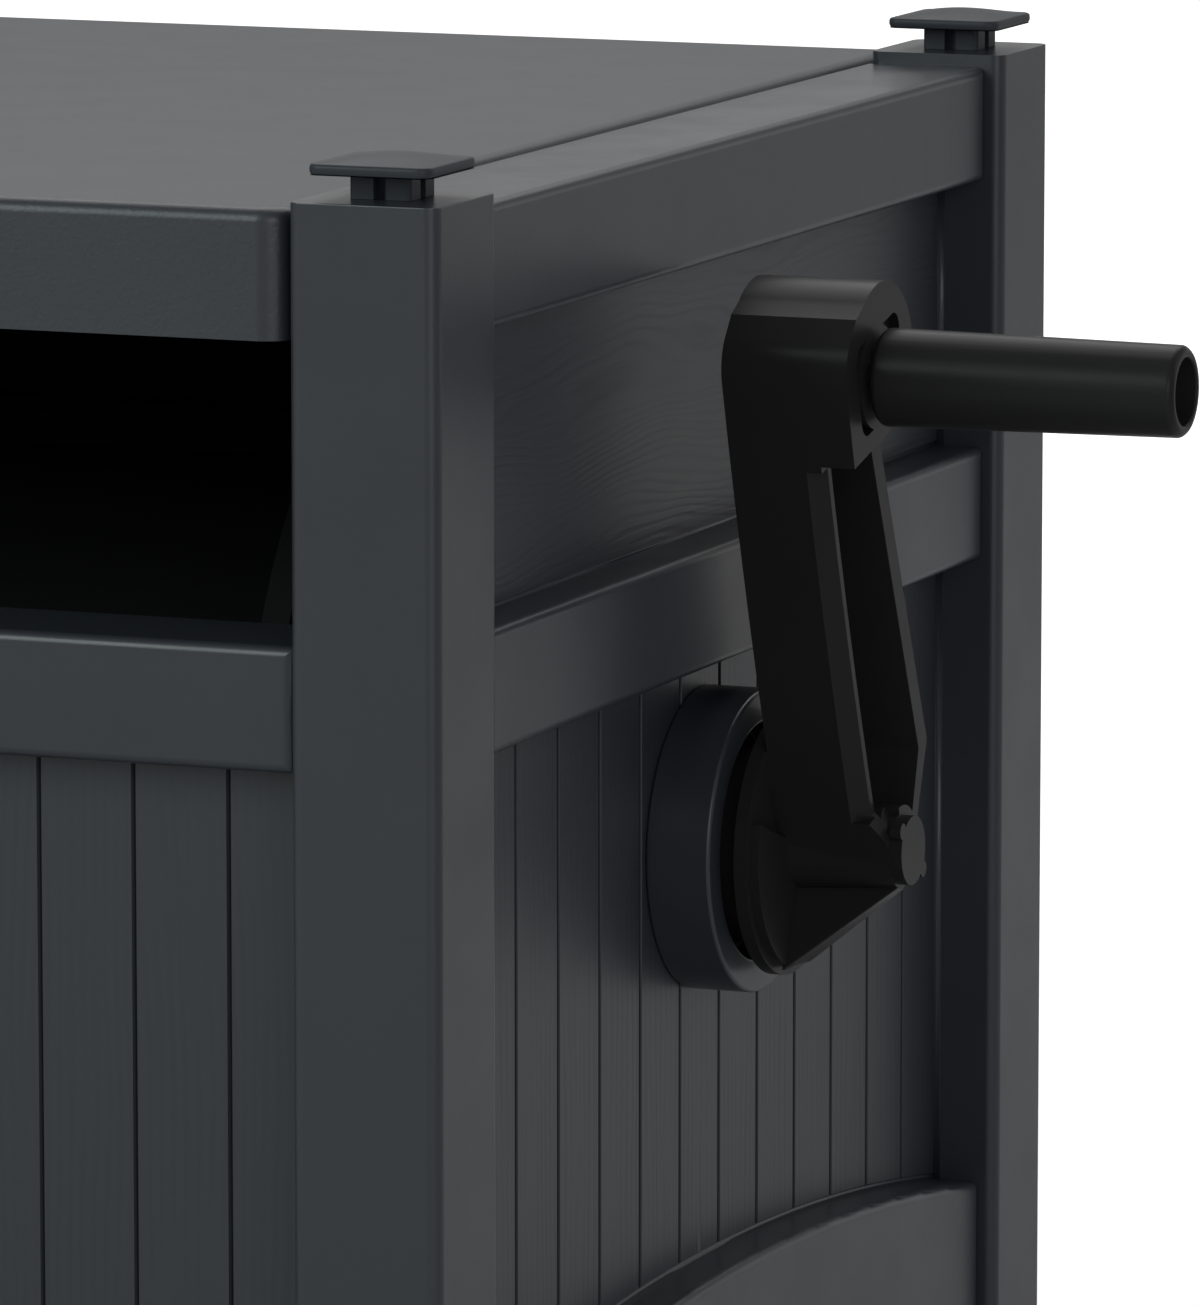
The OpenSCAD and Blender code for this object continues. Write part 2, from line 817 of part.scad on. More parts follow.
// Places children at each tie rod, with +Z turned along +X
module at_rods() {
    for (i = [0 : 3])
        translate([0, 0, axis_z]) rotate([i * 90 + rod_turn, 0, 0])
            translate([0, 0, rod_ring_r]) rotate([0, 90, 0]) children();
}

// Places children at each shaft screw, with +Z turned along +X
module at_shaft_screws() {
    for (i = [0 : 3])
        translate([0, 0, axis_z]) rotate([i * 90, 0, 0])
            translate([0, 0, screw_ring_r]) rotate([0, 90, 0]) children();
}

module right_reel_flange() {
    color(graphite)
    difference() {
        flange_form(flange_bore_r);
        at_shaft_screws() translate([0, 0, flange_x - over])
            cylinder(r = screw_r + run_gap, h = hub_out - flange_x + 2 * over);
    }
}

module left_reel_flange() {
    color(graphite) mirror([1, 0, 0]) flange_form(tube_r + run_gap + bush_wall + fit_gap);
}

module reel_drum() {
    color(graphite)
    difference() {
        axis_rod(drum_r, -flange_x, flange_x);
        axis_rod(drum_r - drum_wall, -flange_x - over, flange_x + over);
        at_outlet() cylinder(r = thread_r + fit_gap, h = drum_r + over);
    }
}

module drum_tie_rods() {
    end_x = flange_out + rod_nut_t + rod_end;
    color(steel)
    at_rods() translate([0, 0, -end_x]) cylinder(r = rod_r, h = 2 * end_x);
}

module tie_rod_nuts() {
    color(steel)
    at_rods() for (z = [-flange_out - rod_nut_t, flange_out])
        translate([0, 0, z]) difference() {
            cylinder(r = rod_r * nut_ratio, h = rod_nut_t, $fn = 6);
            translate([0, 0, -over]) cylinder(r = rod_r + run_gap, h = rod_nut_t + 2 * over);
        }
}

module reel_bush() {
    color(acetal)
    mirror([1, 0, 0])
    difference() {
        axis_rod(tube_r + run_gap + bush_wall, flange_x, hub_out);
        axis_rod(tube_r + run_gap, flange_x - over, hub_out + over);
    }
}

// Places children on the drum's outlet line, +Z pointing out through the drum
module at_outlet() {
    translate([-flange_x + elbow_l - elbow_r, 0, axis_z]) rotate([outlet_angle - 90, 0, 0]) children();
}

// Elbow from the inlet tube to the drum's wall, turning with the reel
module swivel_elbow() {
    color(black)
    difference() {
        union() {
            axis_rod(elbow_r, -flange_x, -flange_x + elbow_l);
            at_outlet() cylinder(r = elbow_branch_r, h = outlet_foot);
        }
        axis_rod(elbow_bore_r, -flange_x - over, -tube_end + end_gap);
        axis_rod(axial_water_r, -tube_end, -flange_x + elbow_l - elbow_r + water_r / 2);
        at_outlet() cylinder(r = water_r, h = drum_r);
        at_outlet() translate([0, 0, outlet_foot - outlet_spigot_l])
            cylinder(r = outlet_spigot_r + run_gap, h = drum_r);
    }
}

// Nipple that takes the hose, plugged into the elbow and reaching out through the drum's wall
module hose_outlet() {
    inner_z = outlet_foot - outlet_spigot_l;
    color(brass)
    at_outlet() difference() {
        union() {
            translate([0, 0, inner_z]) cylinder(r = outlet_spigot_r, h = outlet_spigot_l + over);
            translate([0, 0, outlet_foot]) cylinder(r = outlet_flange_r, h = outlet_hex_t, $fn = 6);
            translate([0, 0, outlet_foot]) cylinder(r = thread_r, h = drum_r - outlet_foot + thread_l);
        }
        translate([0, 0, inner_z - over]) cylinder(r = water_r, h = drum_r);
    }
}

// Crank shaft: plate on the reel hub, shoulder, journal and square drive
module crank_shaft() {
    color(black)
    difference() {
        union() {
            axis_rod(hub_r, hub_out, hub_out + shaft_plate_t);
            axis_rod(shoulder_r, hub_out, spigot_x - end_gap);
            axis_rod(journal_r, hub_out, neck_x);
            translate([hub_out, -drive_s / 2, axis_z - drive_s / 2])
                cube([drive_end - hub_out, drive_s, drive_s]);
        }
        axis_rod(bolt_r + run_gap, bolt_tip_x - bolt_tip_room, drive_end + over);
        at_shaft_screws() translate([0, 0, hub_out - over])
            cylinder(r = screw_r + run_gap, h = shaft_plate_t + 2 * over);
    }
}

module shaft_screws() {
    color(steel)
    at_shaft_screws() {
        translate([0, 0, flange_x + screw_tip_room])
            cylinder(r = screw_r, h = hub_out + shaft_plate_t - flange_x);
        translate([0, 0, hub_out + shaft_plate_t]) cylinder(r = screw_head_r, h = screw_head_t);
    }
}

// Crank: x runs out from the post faces, the arm rises along z before it leans

module crank_frame() {
    translate([half_w, 0, axis_z]) rotate([lean, 0, 0]) children();
}

// Disc of the bow, its edge moved in by inset
module bow_disc(inset) {
    translate(bow_mid) circle(bow_r - inset, $fn = 720);
}

// Outline of the arm below its head, seen from outside
module arm_outline() {
    intersection() {
        polygon([
            [-2 * head_front, 0], [-2 * head_front, head_low], [arm_rear, head_low],
            [arm_flare, flare_up], [boss_end_r, 0]
        ]);
        bow_disc(0);
    }
}

// Outline of the channel inside the arm's walls
module channel_outline() {
    difference() {
        intersection() {
            polygon([
                [-2 * head_front, 0], [-2 * head_front, head_low], [arm_rear - arm_wall, head_low],
                [arm_flare - arm_wall, flare_up], [boss_end_r - foot_wall, 0]
            ]);
            bow_disc(arm_wall);
        }
        circle(boss_r);
    }
}

// Outline of the head, its edge moved in by inset
module head_outline(inset) {
    low = head_low + inset;
    intersection() {
        union() {
            translate([head_shift, crank_len]) circle(head_r - inset);
            polygon([
                [-head_front - over, low], [-head_front - over, bow_to[1] - inset],
                [-crown_front, crank_len + crown_up - inset], [head_shift, crank_len + head_r - inset],
                [head_shift, low]
            ]);
        }
        bow_disc(inset);
        translate([-2 * head_front, low]) square(4 * head_front);
    }
}

// Walls of the arm: an open channel whose front lip is bevelled and whose rear lip runs out to the boss
module arm_channel() {
    far = head_x + over;
    wide = 2 * head_front;
    top = head_low + over;
    difference() {
        translate([arm_x, 0, 0]) along_x(boss_x - arm_x) arm_outline();
        translate([arm_x + arm_back, 0, 0]) along_x(far) channel_outline();
        rotate([90, 0, 0]) linear_extrude(wide)
            polygon([
                [lip_x, top], [lip_x, lip_low], [boss_x + over, lip_end], [far, lip_end], [far, top]
            ]);
        translate([0, wide, 0]) rotate([90, 0, 0]) linear_extrude(wide)
            polygon([
                [lip_x, top], [lip_x, head_low], [boss_x, flare_up], [far, flare_up], [far, top]
            ]);
        intersection() {
            translate([0, bow_mid[0], bow_mid[1]]) rotate([0, 90, 0]) rotate_extrude($fn = 720)
                polygon([
                    [bow_r - bevel - over, lip_x + over], [bow_r + over, lip_x - bevel - over],
                    [bow_r + over, lip_x + over]
                ]);
            translate([0, -wide, lip_low - over]) cube([far, wide, head_low - lip_low - over]);
        }
    }
}

// Foot of the crank hub: a rib that spreads from the boss to the edge of the disc
module crank_gusset() {
    base_x = disc_x + disc_t + plate_t - over;
    tip_x = boss_x - over;
    speck = 0.5;
    hull() {
        for (sy = [-1, 1]) {
            translate([base_x, sy * disc_r * 0.54, -disc_r * 0.8]) cube(speck, center = true);
            translate([base_x, sy * boss_r * 0.45, -boss_r * 0.9]) cube(speck, center = true);
            translate([tip_x, sy * boss_end_r * 0.45, -boss_end_r * 0.9]) cube(speck, center = true);
        }
        translate([base_x, 0, -disc_r * 0.97]) cube(speck, center = true);
        translate([tip_x, 0, -boss_end_r * 1.1]) cube(speck, center = true);
    }
}

// Disc with the raised plate on its lower part
module crank_disc() {
    rim = 2.5;
    wide = 2 * disc_r;
    rise = plate_up + (wide - boss_r) * tan(plate_slope);
    translate([disc_x, 0, 0]) along_x(disc_t) circle(disc_r);
    translate([disc_x, 0, 0]) along_x(disc_t + plate_t) difference() {
        circle(disc_r - rim);
        polygon([
            [-boss_r, plate_up], [boss_r, plate_up], [wide, rise], [wide, 2 * wide],
            [-wide, 2 * wide], [-wide, rise]
        ]);
    }
}

module crank_arm() {
    color(black)
    crank_frame()
    difference() {
        union() {
            translate([neck_x - half_w, 0, 0]) rotate([0, 90, 0])
                cylinder(r = neck_r, h = disc_x - neck_x + half_w + over);
            crank_disc();
            translate([disc_x, 0, 0]) rotate([0, 90, 0])
                cylinder(r1 = boss_r, r2 = boss_end_r, h = boss_x - disc_x);
            crank_gusset();
            translate([disc_x + disc_t - over, 0, 0]) along_x(arm_up + 2 * over) intersection() {
                arm_outline();
                circle(disc_r);
            }
            arm_channel();
            translate([arm_x, 0, 0]) along_x(head_d) head_outline(0);
        }
        // recess in the head's face, round the seat of the grip
        translate([head_x - face_recess, 0, 0]) along_x(face_recess + over) difference() {
            translate([head_shift / 2, crank_len]) round_rect(face_w, face_h, face_r);
            translate([0, crank_len]) circle(grip_r + over);
        }
        // hollow back of the head, round the post for the nut
        translate([arm_x - over, 0, 0]) along_x(head_d - face_recess - arm_back + over) difference() {
            head_outline(arm_wall);
            translate([0, crank_len]) circle(nut_seat_r + nut_post_wall);
        }
        // square socket for the shaft, bolt hole and bolt seat
        rotate([-lean, 0, 0]) translate([-half_w, -drive_s / 2 - fit_gap, -drive_s / 2 - fit_gap])
            cube([drive_end + fit_gap, drive_s + 2 * fit_gap, drive_s + 2 * fit_gap]);
        rotate([0, 90, 0]) cylinder(r = bolt_r + fit_gap, h = boss_x + over);
        translate([bolt_seat_x - half_w, 0, 0]) rotate([0, 90, 0])
            cylinder(r = bolt_seat_r, h = boss_x);
        // spindle hole and nut seat
        translate([0, 0, crank_len]) rotate([0, 90, 0])
            cylinder(r = spindle_r + run_gap, h = 2 * head_d);
        translate([0, 0, crank_len]) rotate([0, 90, 0])
            cylinder(r = nut_seat_r, h = arm_x + nut_seat_d);
    }
}

module crank_bolt() {
    color(steel) {
        axis_rod(bolt_r, bolt_tip_x, bolt_seat_x + over);
        axis_hex(bolt_head_r, bolt_seat_x, bolt_seat_x + bolt_head_t);
    }
}

// Cap on the end of the boss, with two ears to pull it by
module hub_cap() {
    face_t = 3.5;
    ear_r = 2.5;
    ear_turn = -52;
    stem_l = 6;
    color(black)
    crank_frame() {
        translate([boss_x, 0, 0]) rotate([0, 90, 0]) cylinder(r = boss_end_r - 1, h = face_t);
        for (turn = [ear_turn, ear_turn + 180])
            rotate([turn, 0, 0]) translate([boss_x, -boss_end_r, 0]) rotate([0, 90, 0])
                cylinder(r = ear_r, h = face_t);
        translate([boss_x - stem_l, 0, 0]) rotate([0, 90, 0])
            cylinder(r = bolt_seat_r - fit_gap, h = stem_l + over);
    }
}

// Places children on the grip axis, +Z turned along +X, from the middle of the box
module on_grip_axis() {
    translate([0, -crank_len * sin(lean), axis_z + crank_len * cos(lean)]) rotate([0, 90, 0]) children();
}

module crank_grip() {
    bore_l = grip_l - grip_web;
    lip = 1.5;
    color(black)
    on_grip_axis() translate([0, 0, grip_x])
    difference() {
        rotate_extrude() polygon([
            [0, 0], [grip_r - lip, 0], [grip_r, lip],
            [grip_end_r, grip_l - lip], [grip_end_r - lip, grip_l], [0, grip_l]
        ]);
        translate([0, 0, -over]) cylinder(r = spindle_r + run_gap, h = grip_l);
        translate([0, 0, grip_web]) cylinder(r = grip_bore_r, h = bore_l + over);
    }
}

module grip_spindle() {
    tail_x = half_w + arm_x + tail_room;
    color(steel)
    on_grip_axis() {
        translate([0, 0, tail_x]) cylinder(r = spindle_r, h = spindle_head_x - tail_x + over);
        translate([0, 0, spindle_head_x]) cylinder(r = spindle_head_r, h = spindle_head_t);
    }
}

module grip_nut() {
    seat_x = half_w + arm_x + nut_seat_d;
    nut_t = spindle_r;
    color(steel)
    on_grip_axis() translate([0, 0, seat_x - nut_t]) difference() {
        cylinder(r = spindle_r * nut_ratio, h = nut_t, $fn = 6);
        translate([0, 0, -over]) cylinder(r = spindle_r + run_gap, h = nut_t + 2 * over);
    }
}

post(-1, -1);  // post_front_left
post(1, -1);  // post_front_right
post(-1, 1);  // post_rear_left
post(1, 1);  // post_rear_right
cap(-1, -1);  // cap_front_left
cap(1, -1);  // cap_front_right
cap(-1, 1);  // cap_rear_left
cap(1, 1);  // cap_rear_right
foot(-1, -1);  // foot_front_left
foot(1, -1);  // foot_front_right
foot(-1, 1);  // foot_rear_left
foot(1, 1);  // foot_rear_right
front_panel();
rear_panel();
left_side_panel();
right_side_panel();
base_tray();
lid();
lid_hinge_pins();
crank_collar();
crank_collar_nut();
crank_bush();
inlet_collar();
inlet_collar_nut();
inlet_bush();
inlet_tube();
inlet_lock_nut();
inlet_o_rings();
reel_drum();
left_reel_flange();
right_reel_flange();
drum_tie_rods();
tie_rod_nuts();
reel_bush();
swivel_elbow();
hose_outlet();
crank_shaft();
shaft_screws();
crank_arm();
crank_bolt();
hub_cap();
crank_grip();
grip_spindle();
grip_nut();
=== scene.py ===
"""Looks of the hose reel box: grained plastic walls, lid, crank, reel and water inlet in a plain studio."""

from __future__ import annotations

import json
import logging
import math
from dataclasses import dataclass
from enum import Enum
from typing import Sequence

import bmesh
import bpy
from mathutils import Euler, Matrix, Vector

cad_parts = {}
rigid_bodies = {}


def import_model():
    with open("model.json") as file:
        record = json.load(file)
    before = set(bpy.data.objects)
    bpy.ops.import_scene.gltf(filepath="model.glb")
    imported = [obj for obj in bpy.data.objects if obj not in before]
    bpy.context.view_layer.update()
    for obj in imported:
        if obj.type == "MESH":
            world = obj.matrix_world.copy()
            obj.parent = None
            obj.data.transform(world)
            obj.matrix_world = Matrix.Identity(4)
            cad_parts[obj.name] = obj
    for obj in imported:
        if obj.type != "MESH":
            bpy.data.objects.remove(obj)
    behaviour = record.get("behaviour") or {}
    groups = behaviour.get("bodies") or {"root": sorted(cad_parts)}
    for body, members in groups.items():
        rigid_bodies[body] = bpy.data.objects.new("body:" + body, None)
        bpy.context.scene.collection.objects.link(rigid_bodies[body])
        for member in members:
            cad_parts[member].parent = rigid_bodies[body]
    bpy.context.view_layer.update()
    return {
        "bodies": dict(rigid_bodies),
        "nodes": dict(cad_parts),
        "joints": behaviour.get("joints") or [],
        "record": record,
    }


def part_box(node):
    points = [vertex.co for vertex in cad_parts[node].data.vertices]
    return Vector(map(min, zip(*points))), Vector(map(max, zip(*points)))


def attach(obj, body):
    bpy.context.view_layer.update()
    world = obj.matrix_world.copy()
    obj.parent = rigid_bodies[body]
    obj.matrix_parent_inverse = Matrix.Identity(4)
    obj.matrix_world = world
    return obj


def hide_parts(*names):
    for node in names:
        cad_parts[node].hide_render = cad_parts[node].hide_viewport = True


LOG = logging.getLogger("hose_reel_box")
MM = 0.001
Triple = tuple[float, float, float]


class Body(Enum):
    """The moving bodies of the part."""

    CASE = "case"
    LID = "lid"
    REEL = "reel"
    GRIP = "grip"


class Slot(Enum):
    """Material slots of the part's record."""

    BOX = "box_plastic"
    BLACK = "black_plastic"
    REEL = "reel_plastic"
    CRANK = "crank_plastic"
    BEARING = "bearing_plastic"
    STEEL = "steel"
    BRASS = "brass"
    RUBBER = "rubber"


class Grain(Enum):
    """How the embossed wood grain runs on a wall."""

    UPRIGHT = "upright"
    LEVEL = "level"


class WallFace(Enum):
    """A wall's materials, numbered in slot order."""

    RAIL = 0
    PLANK = 1
    BOARD = 2
    # Inward faces, in a darker colour that stands in for the shade inside the box
    INSIDE = 3


# Shader groups

# Sockets of the colours in a Mix node
MIX_FIRST = 6
MIX_SECOND = 7
MIX_RESULT = 2
# Range that a noise's value mostly lies in
NOISE_LOW = 0.3
NOISE_HIGH = 0.7


class NodeMaker:
    """Adds and links nodes in one node tree."""

    node_width: int = 180

    def __init__(self, tree: bpy.types.NodeTree) -> None:
        """Keeps the tree that nodes go into."""
        self.tree = tree
        self.column = 0

    def add(self, kind: str, **settings: object) -> bpy.types.Node:
        """Adds a node and sets its properties.

        Args:
            kind: Blender's node type name.
            settings: properties of the node by name.

        Returns:
            The new node.
        """
        made = self.tree.nodes.new(kind)
        for name, value in settings.items():
            setattr(made, name, value)
        made.location = (self.column * self.node_width, 0)
        self.column += 1
        return made

    def feed(self, socket: bpy.types.NodeSocket, value: object) -> None:
        """Links an output socket, or sets a plain value, on an input socket.

        Args:
            socket: the input socket.
            value: an output socket or a plain value.
        """
        if isinstance(value, bpy.types.NodeSocket):
            self.tree.links.new(value, socket)
        else:
            socket.default_value = value

    def math(
        self, operation: str, first: object, second: object = 0.0, third: object = 0.0
    ) -> bpy.types.NodeSocket:
        """Adds a Math node.

        Args:
            operation: the node's operation.
            first: value or socket of the first input.
            second: value or socket of the second input.
            third: value or socket of the third input.

        Returns:
            The node's output socket.
        """
        made = self.add("ShaderNodeMath", operation=operation)
        for socket, value in zip(made.inputs, (first, second, third)):
            self.feed(socket, value)
        return made.outputs[0]

    def vector(self, x: object, y: object, z: object = 0.0) -> bpy.types.NodeSocket:
        """Joins three values to a vector.

        Args:
            x: value or socket of the first part.
            y: value or socket of the second part.
            z: value or socket of the third part.

        Returns:
            The vector's socket.
        """
        made = self.add("ShaderNodeCombineXYZ")
        for socket, value in zip(made.inputs, (x, y, z)):
            self.feed(socket, value)
        return made.outputs[0]

    def noise(
        self, vector: object, scale: object, detail: float, roughness: float = 0.5
    ) -> bpy.types.NodeSocket:
        """Adds a Noise Texture.

        Args:
            vector: socket that gives the place.
            scale: value or socket of the scale.
            detail: octaves of detail.
            roughness: weight of the finer octaves.

        Returns:
            The noise value's socket.
        """
        made = self.add("ShaderNodeTexNoise", noise_dimensions="3D")
        self.feed(made.inputs["Vector"], vector)
        self.feed(made.inputs["Scale"], scale)
        made.inputs["Detail"].default_value = detail
        made.inputs["Roughness"].default_value = roughness
        return made.outputs["Fac"]

    def span(
        self, value: object, low: float, high: float, to_low: float, to_high: float
    ) -> bpy.types.NodeSocket:
        """Maps a value from one range to another, clamped.

        Args:
            value: value or socket that is mapped.
            low: start of its range.
            high: end of its range.
            to_low: result at the start.
            to_high: result at the end.

        Returns:
            The result's socket.
        """
        made = self.add("ShaderNodeMapRange", clamp=True)
        for socket, item in zip(made.inputs, (value, low, high, to_low, to_high)):
            self.feed(socket, item)
        return made.outputs[0]

    def blend(
        self, factor: object, first: Sequence[float], second: Sequence[float]
    ) -> bpy.types.NodeSocket:
        """Blends two colours.

        Args:
            factor: value or socket, 0 for the first colour and 1 for the second.
            first: the first colour.
            second: the second colour.

        Returns:
            The colour's socket.
        """
        made = self.add("ShaderNodeMix", data_type="RGBA")
        self.feed(made.inputs["Factor"], factor)
        made.inputs[MIX_FIRST].default_value = (*first, 1.0)
        made.inputs[MIX_SECOND].default_value = (*second, 1.0)
        return made.outputs[MIX_RESULT]


def new_group(
    name: str, inputs: Sequence[tuple[str, str, float]], outputs: Sequence[str]
) -> NodeMaker:
    """Starts a shader node group with named sockets.

    Args:
        name: the group's name.
        inputs: name, socket type and default of each input.
        outputs: names of the float outputs.

    Returns:
        A maker on the new group.
    """
    tree = bpy.data.node_groups.new(name, "ShaderNodeTree")
    for label, kind, default in inputs:
        socket = tree.interface.new_socket(label, in_out="INPUT", socket_type=kind)
        if kind == "NodeSocketFloat":
            socket.default_value = default
    for label in outputs:
        tree.interface.new_socket(label, in_out="OUTPUT", socket_type="NodeSocketFloat")
    return NodeMaker(tree)


@dataclass(frozen=True)
class MouldedSkin:
    """Shared effect: the fine spark-eroded skin of moulded plastic."""

    name: str = "moulded_skin"
    fine: float = 1400.0
    broad: float = 7.0
    polish_ratio: float = 4.3

    def tree(self) -> bpy.types.NodeTree:
        """Builds the group on first use.

        Returns:
            The group.
        """
        made = bpy.data.node_groups.get(self.name)
        if made:
            return made
        maker = new_group(
            self.name,
            [
                ("Vector", "NodeSocketVector", 0.0),
                ("Fine", "NodeSocketFloat", self.fine),
                ("Broad", "NodeSocketFloat", self.broad),
            ],
            ["Height", "Tone", "Polish"],
        )
        given = maker.add("NodeGroupInput").outputs
        result = maker.add("NodeGroupOutput").inputs
        place, broad = given["Vector"], given["Broad"]
        maker.feed(result["Height"], maker.noise(place, given["Fine"], detail=2.0))
        maker.feed(result["Tone"], maker.noise(place, broad, detail=4.0, roughness=0.6))
        finer = maker.math("MULTIPLY", broad, self.polish_ratio)
        maker.feed(result["Polish"], maker.noise(place, finer, detail=3.0))
        return maker.tree


@dataclass(frozen=True)
class WoodEmboss:
    """Shared effect: wood grain pressed into plastic, with wavy lines and loops along the board.

    Each scale has a part along the board and a part across it, in features per metre.
    """

    name: str = "wood_emboss"
    drift_scale: tuple[float, float] = (5.5, 24.0)
    fibre_scale: tuple[float, float] = (26.0, 950.0)
    patch_scale: tuple[float, float] = (14.0, 60.0)
    rings: float = 260.0
    swirl: float = 13.0
    bend: float = 0.012
    ring_range: tuple[float, float] = (-0.2, 1.0)
    patch_range: tuple[float, float] = (0.35, 0.65)
    patch_faint: float = 0.15
    ring_height: float = -0.55
    fibre_height: float = 0.8
    tone_range: tuple[float, float] = (-0.25, 0.65)

    def tree(self) -> bpy.types.NodeTree:
        """Builds the group on first use.

        Returns:
            The group.
        """
        made = bpy.data.node_groups.get(self.name)
        if made:
            return made
        maker = new_group(
            self.name,
            [
                ("Along", "NodeSocketFloat", 0.0),
                ("Across", "NodeSocketFloat", 0.0),
                ("Seed", "NodeSocketFloat", 0.0),
                ("Loops", "NodeSocketFloat", 1.0),
            ],
            ["Height", "Tone"],
        )
        given = maker.add("NodeGroupInput").outputs
        result = maker.add("NodeGroupOutput").inputs
        along, across, seed = given["Along"], given["Across"], given["Seed"]
        slow = self._stretched(maker, along, across, seed, self.drift_scale)
        drift = maker.noise(slow, 1.0, detail=2.0)
        swirls = maker.math("MULTIPLY", drift, given["Loops"])
        straight = maker.math("MULTIPLY", across, self.rings)
        level = maker.math("MULTIPLY_ADD", swirls, self.swirl, straight)
        wave = maker.math("SINE", maker.math("MULTIPLY", level, 2.0 * math.pi))
        rings = maker.span(wave, *self.ring_range, 0.0, 1.0)
        bent = maker.math("MULTIPLY_ADD", drift, self.bend, across)
        thread = self._stretched(maker, along, bent, seed, self.fibre_scale)
        fibres = maker.noise(thread, 1.0, detail=3.0, roughness=0.6)
        spread = self._stretched(maker, along, across, seed, self.patch_scale)
        patch = maker.noise(spread, 1.0, detail=2.0)
        clear = maker.span(patch, *self.patch_range, self.patch_faint, 1.0)
        lines = maker.math("MULTIPLY", rings, clear)
        raised = maker.math("MULTIPLY", fibres, self.fibre_height)
        height = maker.math("MULTIPLY_ADD", lines, self.ring_height, raised)
        maker.feed(result["Height"], height)
        maker.feed(result["Tone"], maker.span(height, *self.tone_range, 0.0, 1.0))
        return maker.tree

    def _stretched(
        self, maker: NodeMaker, along: object, across: object, seed: object, scale: tuple[float, float]
    ) -> bpy.types.NodeSocket:
        """Gives a place on the board, stretched along it.

        Args:
            maker: maker on the group.
            along: socket of the place along the board.
            across: socket of the place across it.
            seed: socket of the board's own number.
            scale: the two parts of the scale.

        Returns:
            The stretched place's socket.
        """
        first = maker.math("MULTIPLY", along, scale[0])
        second = maker.math("MULTIPLY", across, scale[1])
        return maker.vector(first, second, seed)


@dataclass(frozen=True)
class TurnedMetal:
    """Shared effect: fine tool rings and light smudges on turned or plated metal."""

    name: str = "turned_metal"
    ring_scale: Triple = (3200.0, 60.0, 60.0)
    smudge_scale: float = 90.0

    def tree(self) -> bpy.types.NodeTree:
        """Builds the group on first use.

        Returns:
            The group.
        """
        made = bpy.data.node_groups.get(self.name)
        if made:
            return made
        maker = new_group(self.name, [("Vector", "NodeSocketVector", 0.0)], ["Height", "Smudge"])
        place = maker.add("NodeGroupInput").outputs["Vector"]
        result = maker.add("NodeGroupOutput").inputs
        parts = maker.add("ShaderNodeSeparateXYZ")
        maker.feed(parts.inputs[0], place)
        ringed = maker.vector(
            *(maker.math("MULTIPLY", part, scale) for part, scale in zip(parts.outputs, self.ring_scale))
        )
        maker.feed(result["Height"], maker.noise(ringed, 1.0, detail=2.0))
        maker.feed(result["Smudge"], maker.noise(place, self.smudge_scale, detail=3.0))
        return maker.tree


SKIN = MouldedSkin()
WOOD = WoodEmboss()
METAL = TurnedMetal()


def place_group(maker: NodeMaker, tree: bpy.types.NodeTree, **values: object) -> bpy.types.Node:
    """Places a shared group in a material.

    Args:
        maker: maker on the material's tree.
        tree: the shared group.
        values: input values or sockets, by socket name.

    Returns:
        The group node.
    """
    made = maker.add("ShaderNodeGroup", node_tree=tree)
    for name, value in values.items():
        maker.feed(made.inputs[name], value)
    return made


# Finishes


def new_material(
    name: str,
) -> tuple[bpy.types.Material, NodeMaker, bpy.types.Node, bpy.types.NodeSocket]:
    """Starts a material.

    Args:
        name: the material's name.

    Returns:
        The material, a maker on its tree, its Principled shader and the Object coordinate socket.
    """
    material = bpy.data.materials.new(name)
    material.use_nodes = True
    maker = NodeMaker(material.node_tree)
    shader = material.node_tree.nodes["Principled BSDF"]
    place = maker.add("ShaderNodeTexCoord").outputs["Object"]
    return material, maker, shader, place


def bump(
    maker: NodeMaker, shader: bpy.types.Node, height: bpy.types.NodeSocket, strength: float, distance: float
) -> None:
    """Feeds a height into the shader's normal.

    Args:
        maker: maker on the material's tree.
        shader: the Principled shader.
        height: the height's socket.
        strength: strength of the bump.
        distance: height in metres of a full step.
    """
    made = maker.add("ShaderNodeBump")
    made.inputs["Strength"].default_value = strength
    made.inputs["Distance"].default_value = distance
    maker.feed(made.inputs["Height"], height)
    maker.feed(shader.inputs["Normal"], made.outputs["Normal"])


@dataclass(frozen=True)
class PlasticFinish:
    """A moulded plastic with a fine skin."""

    name: str
    colour: Triple
    shade: Triple
    polish: tuple[float, float]
    specular: float = 0.4
    skin: float = 0.12
    fine: float = 1400.0
    relief: float = 0.2 * MM

    def material(self) -> bpy.types.Material:
        """Builds the material on first use.

        Returns:
            The material.
        """
        made = bpy.data.materials.get(self.name)
        if made:
            return made
        material, maker, shader, place = new_material(self.name)
        skin = place_group(maker, SKIN.tree(), Vector=place, Fine=self.fine)
        tone = maker.span(skin.outputs["Tone"], NOISE_LOW, NOISE_HIGH, 0.0, 1.0)
        maker.feed(shader.inputs["Base Color"], maker.blend(tone, self.colour, self.shade))
        rough = maker.span(skin.outputs["Polish"], NOISE_LOW, NOISE_HIGH, *self.polish)
        maker.feed(shader.inputs["Roughness"], rough)
        shader.inputs["Specular IOR Level"].default_value = self.specular
        bump(maker, shader, skin.outputs["Height"], self.skin, self.relief)
        return material


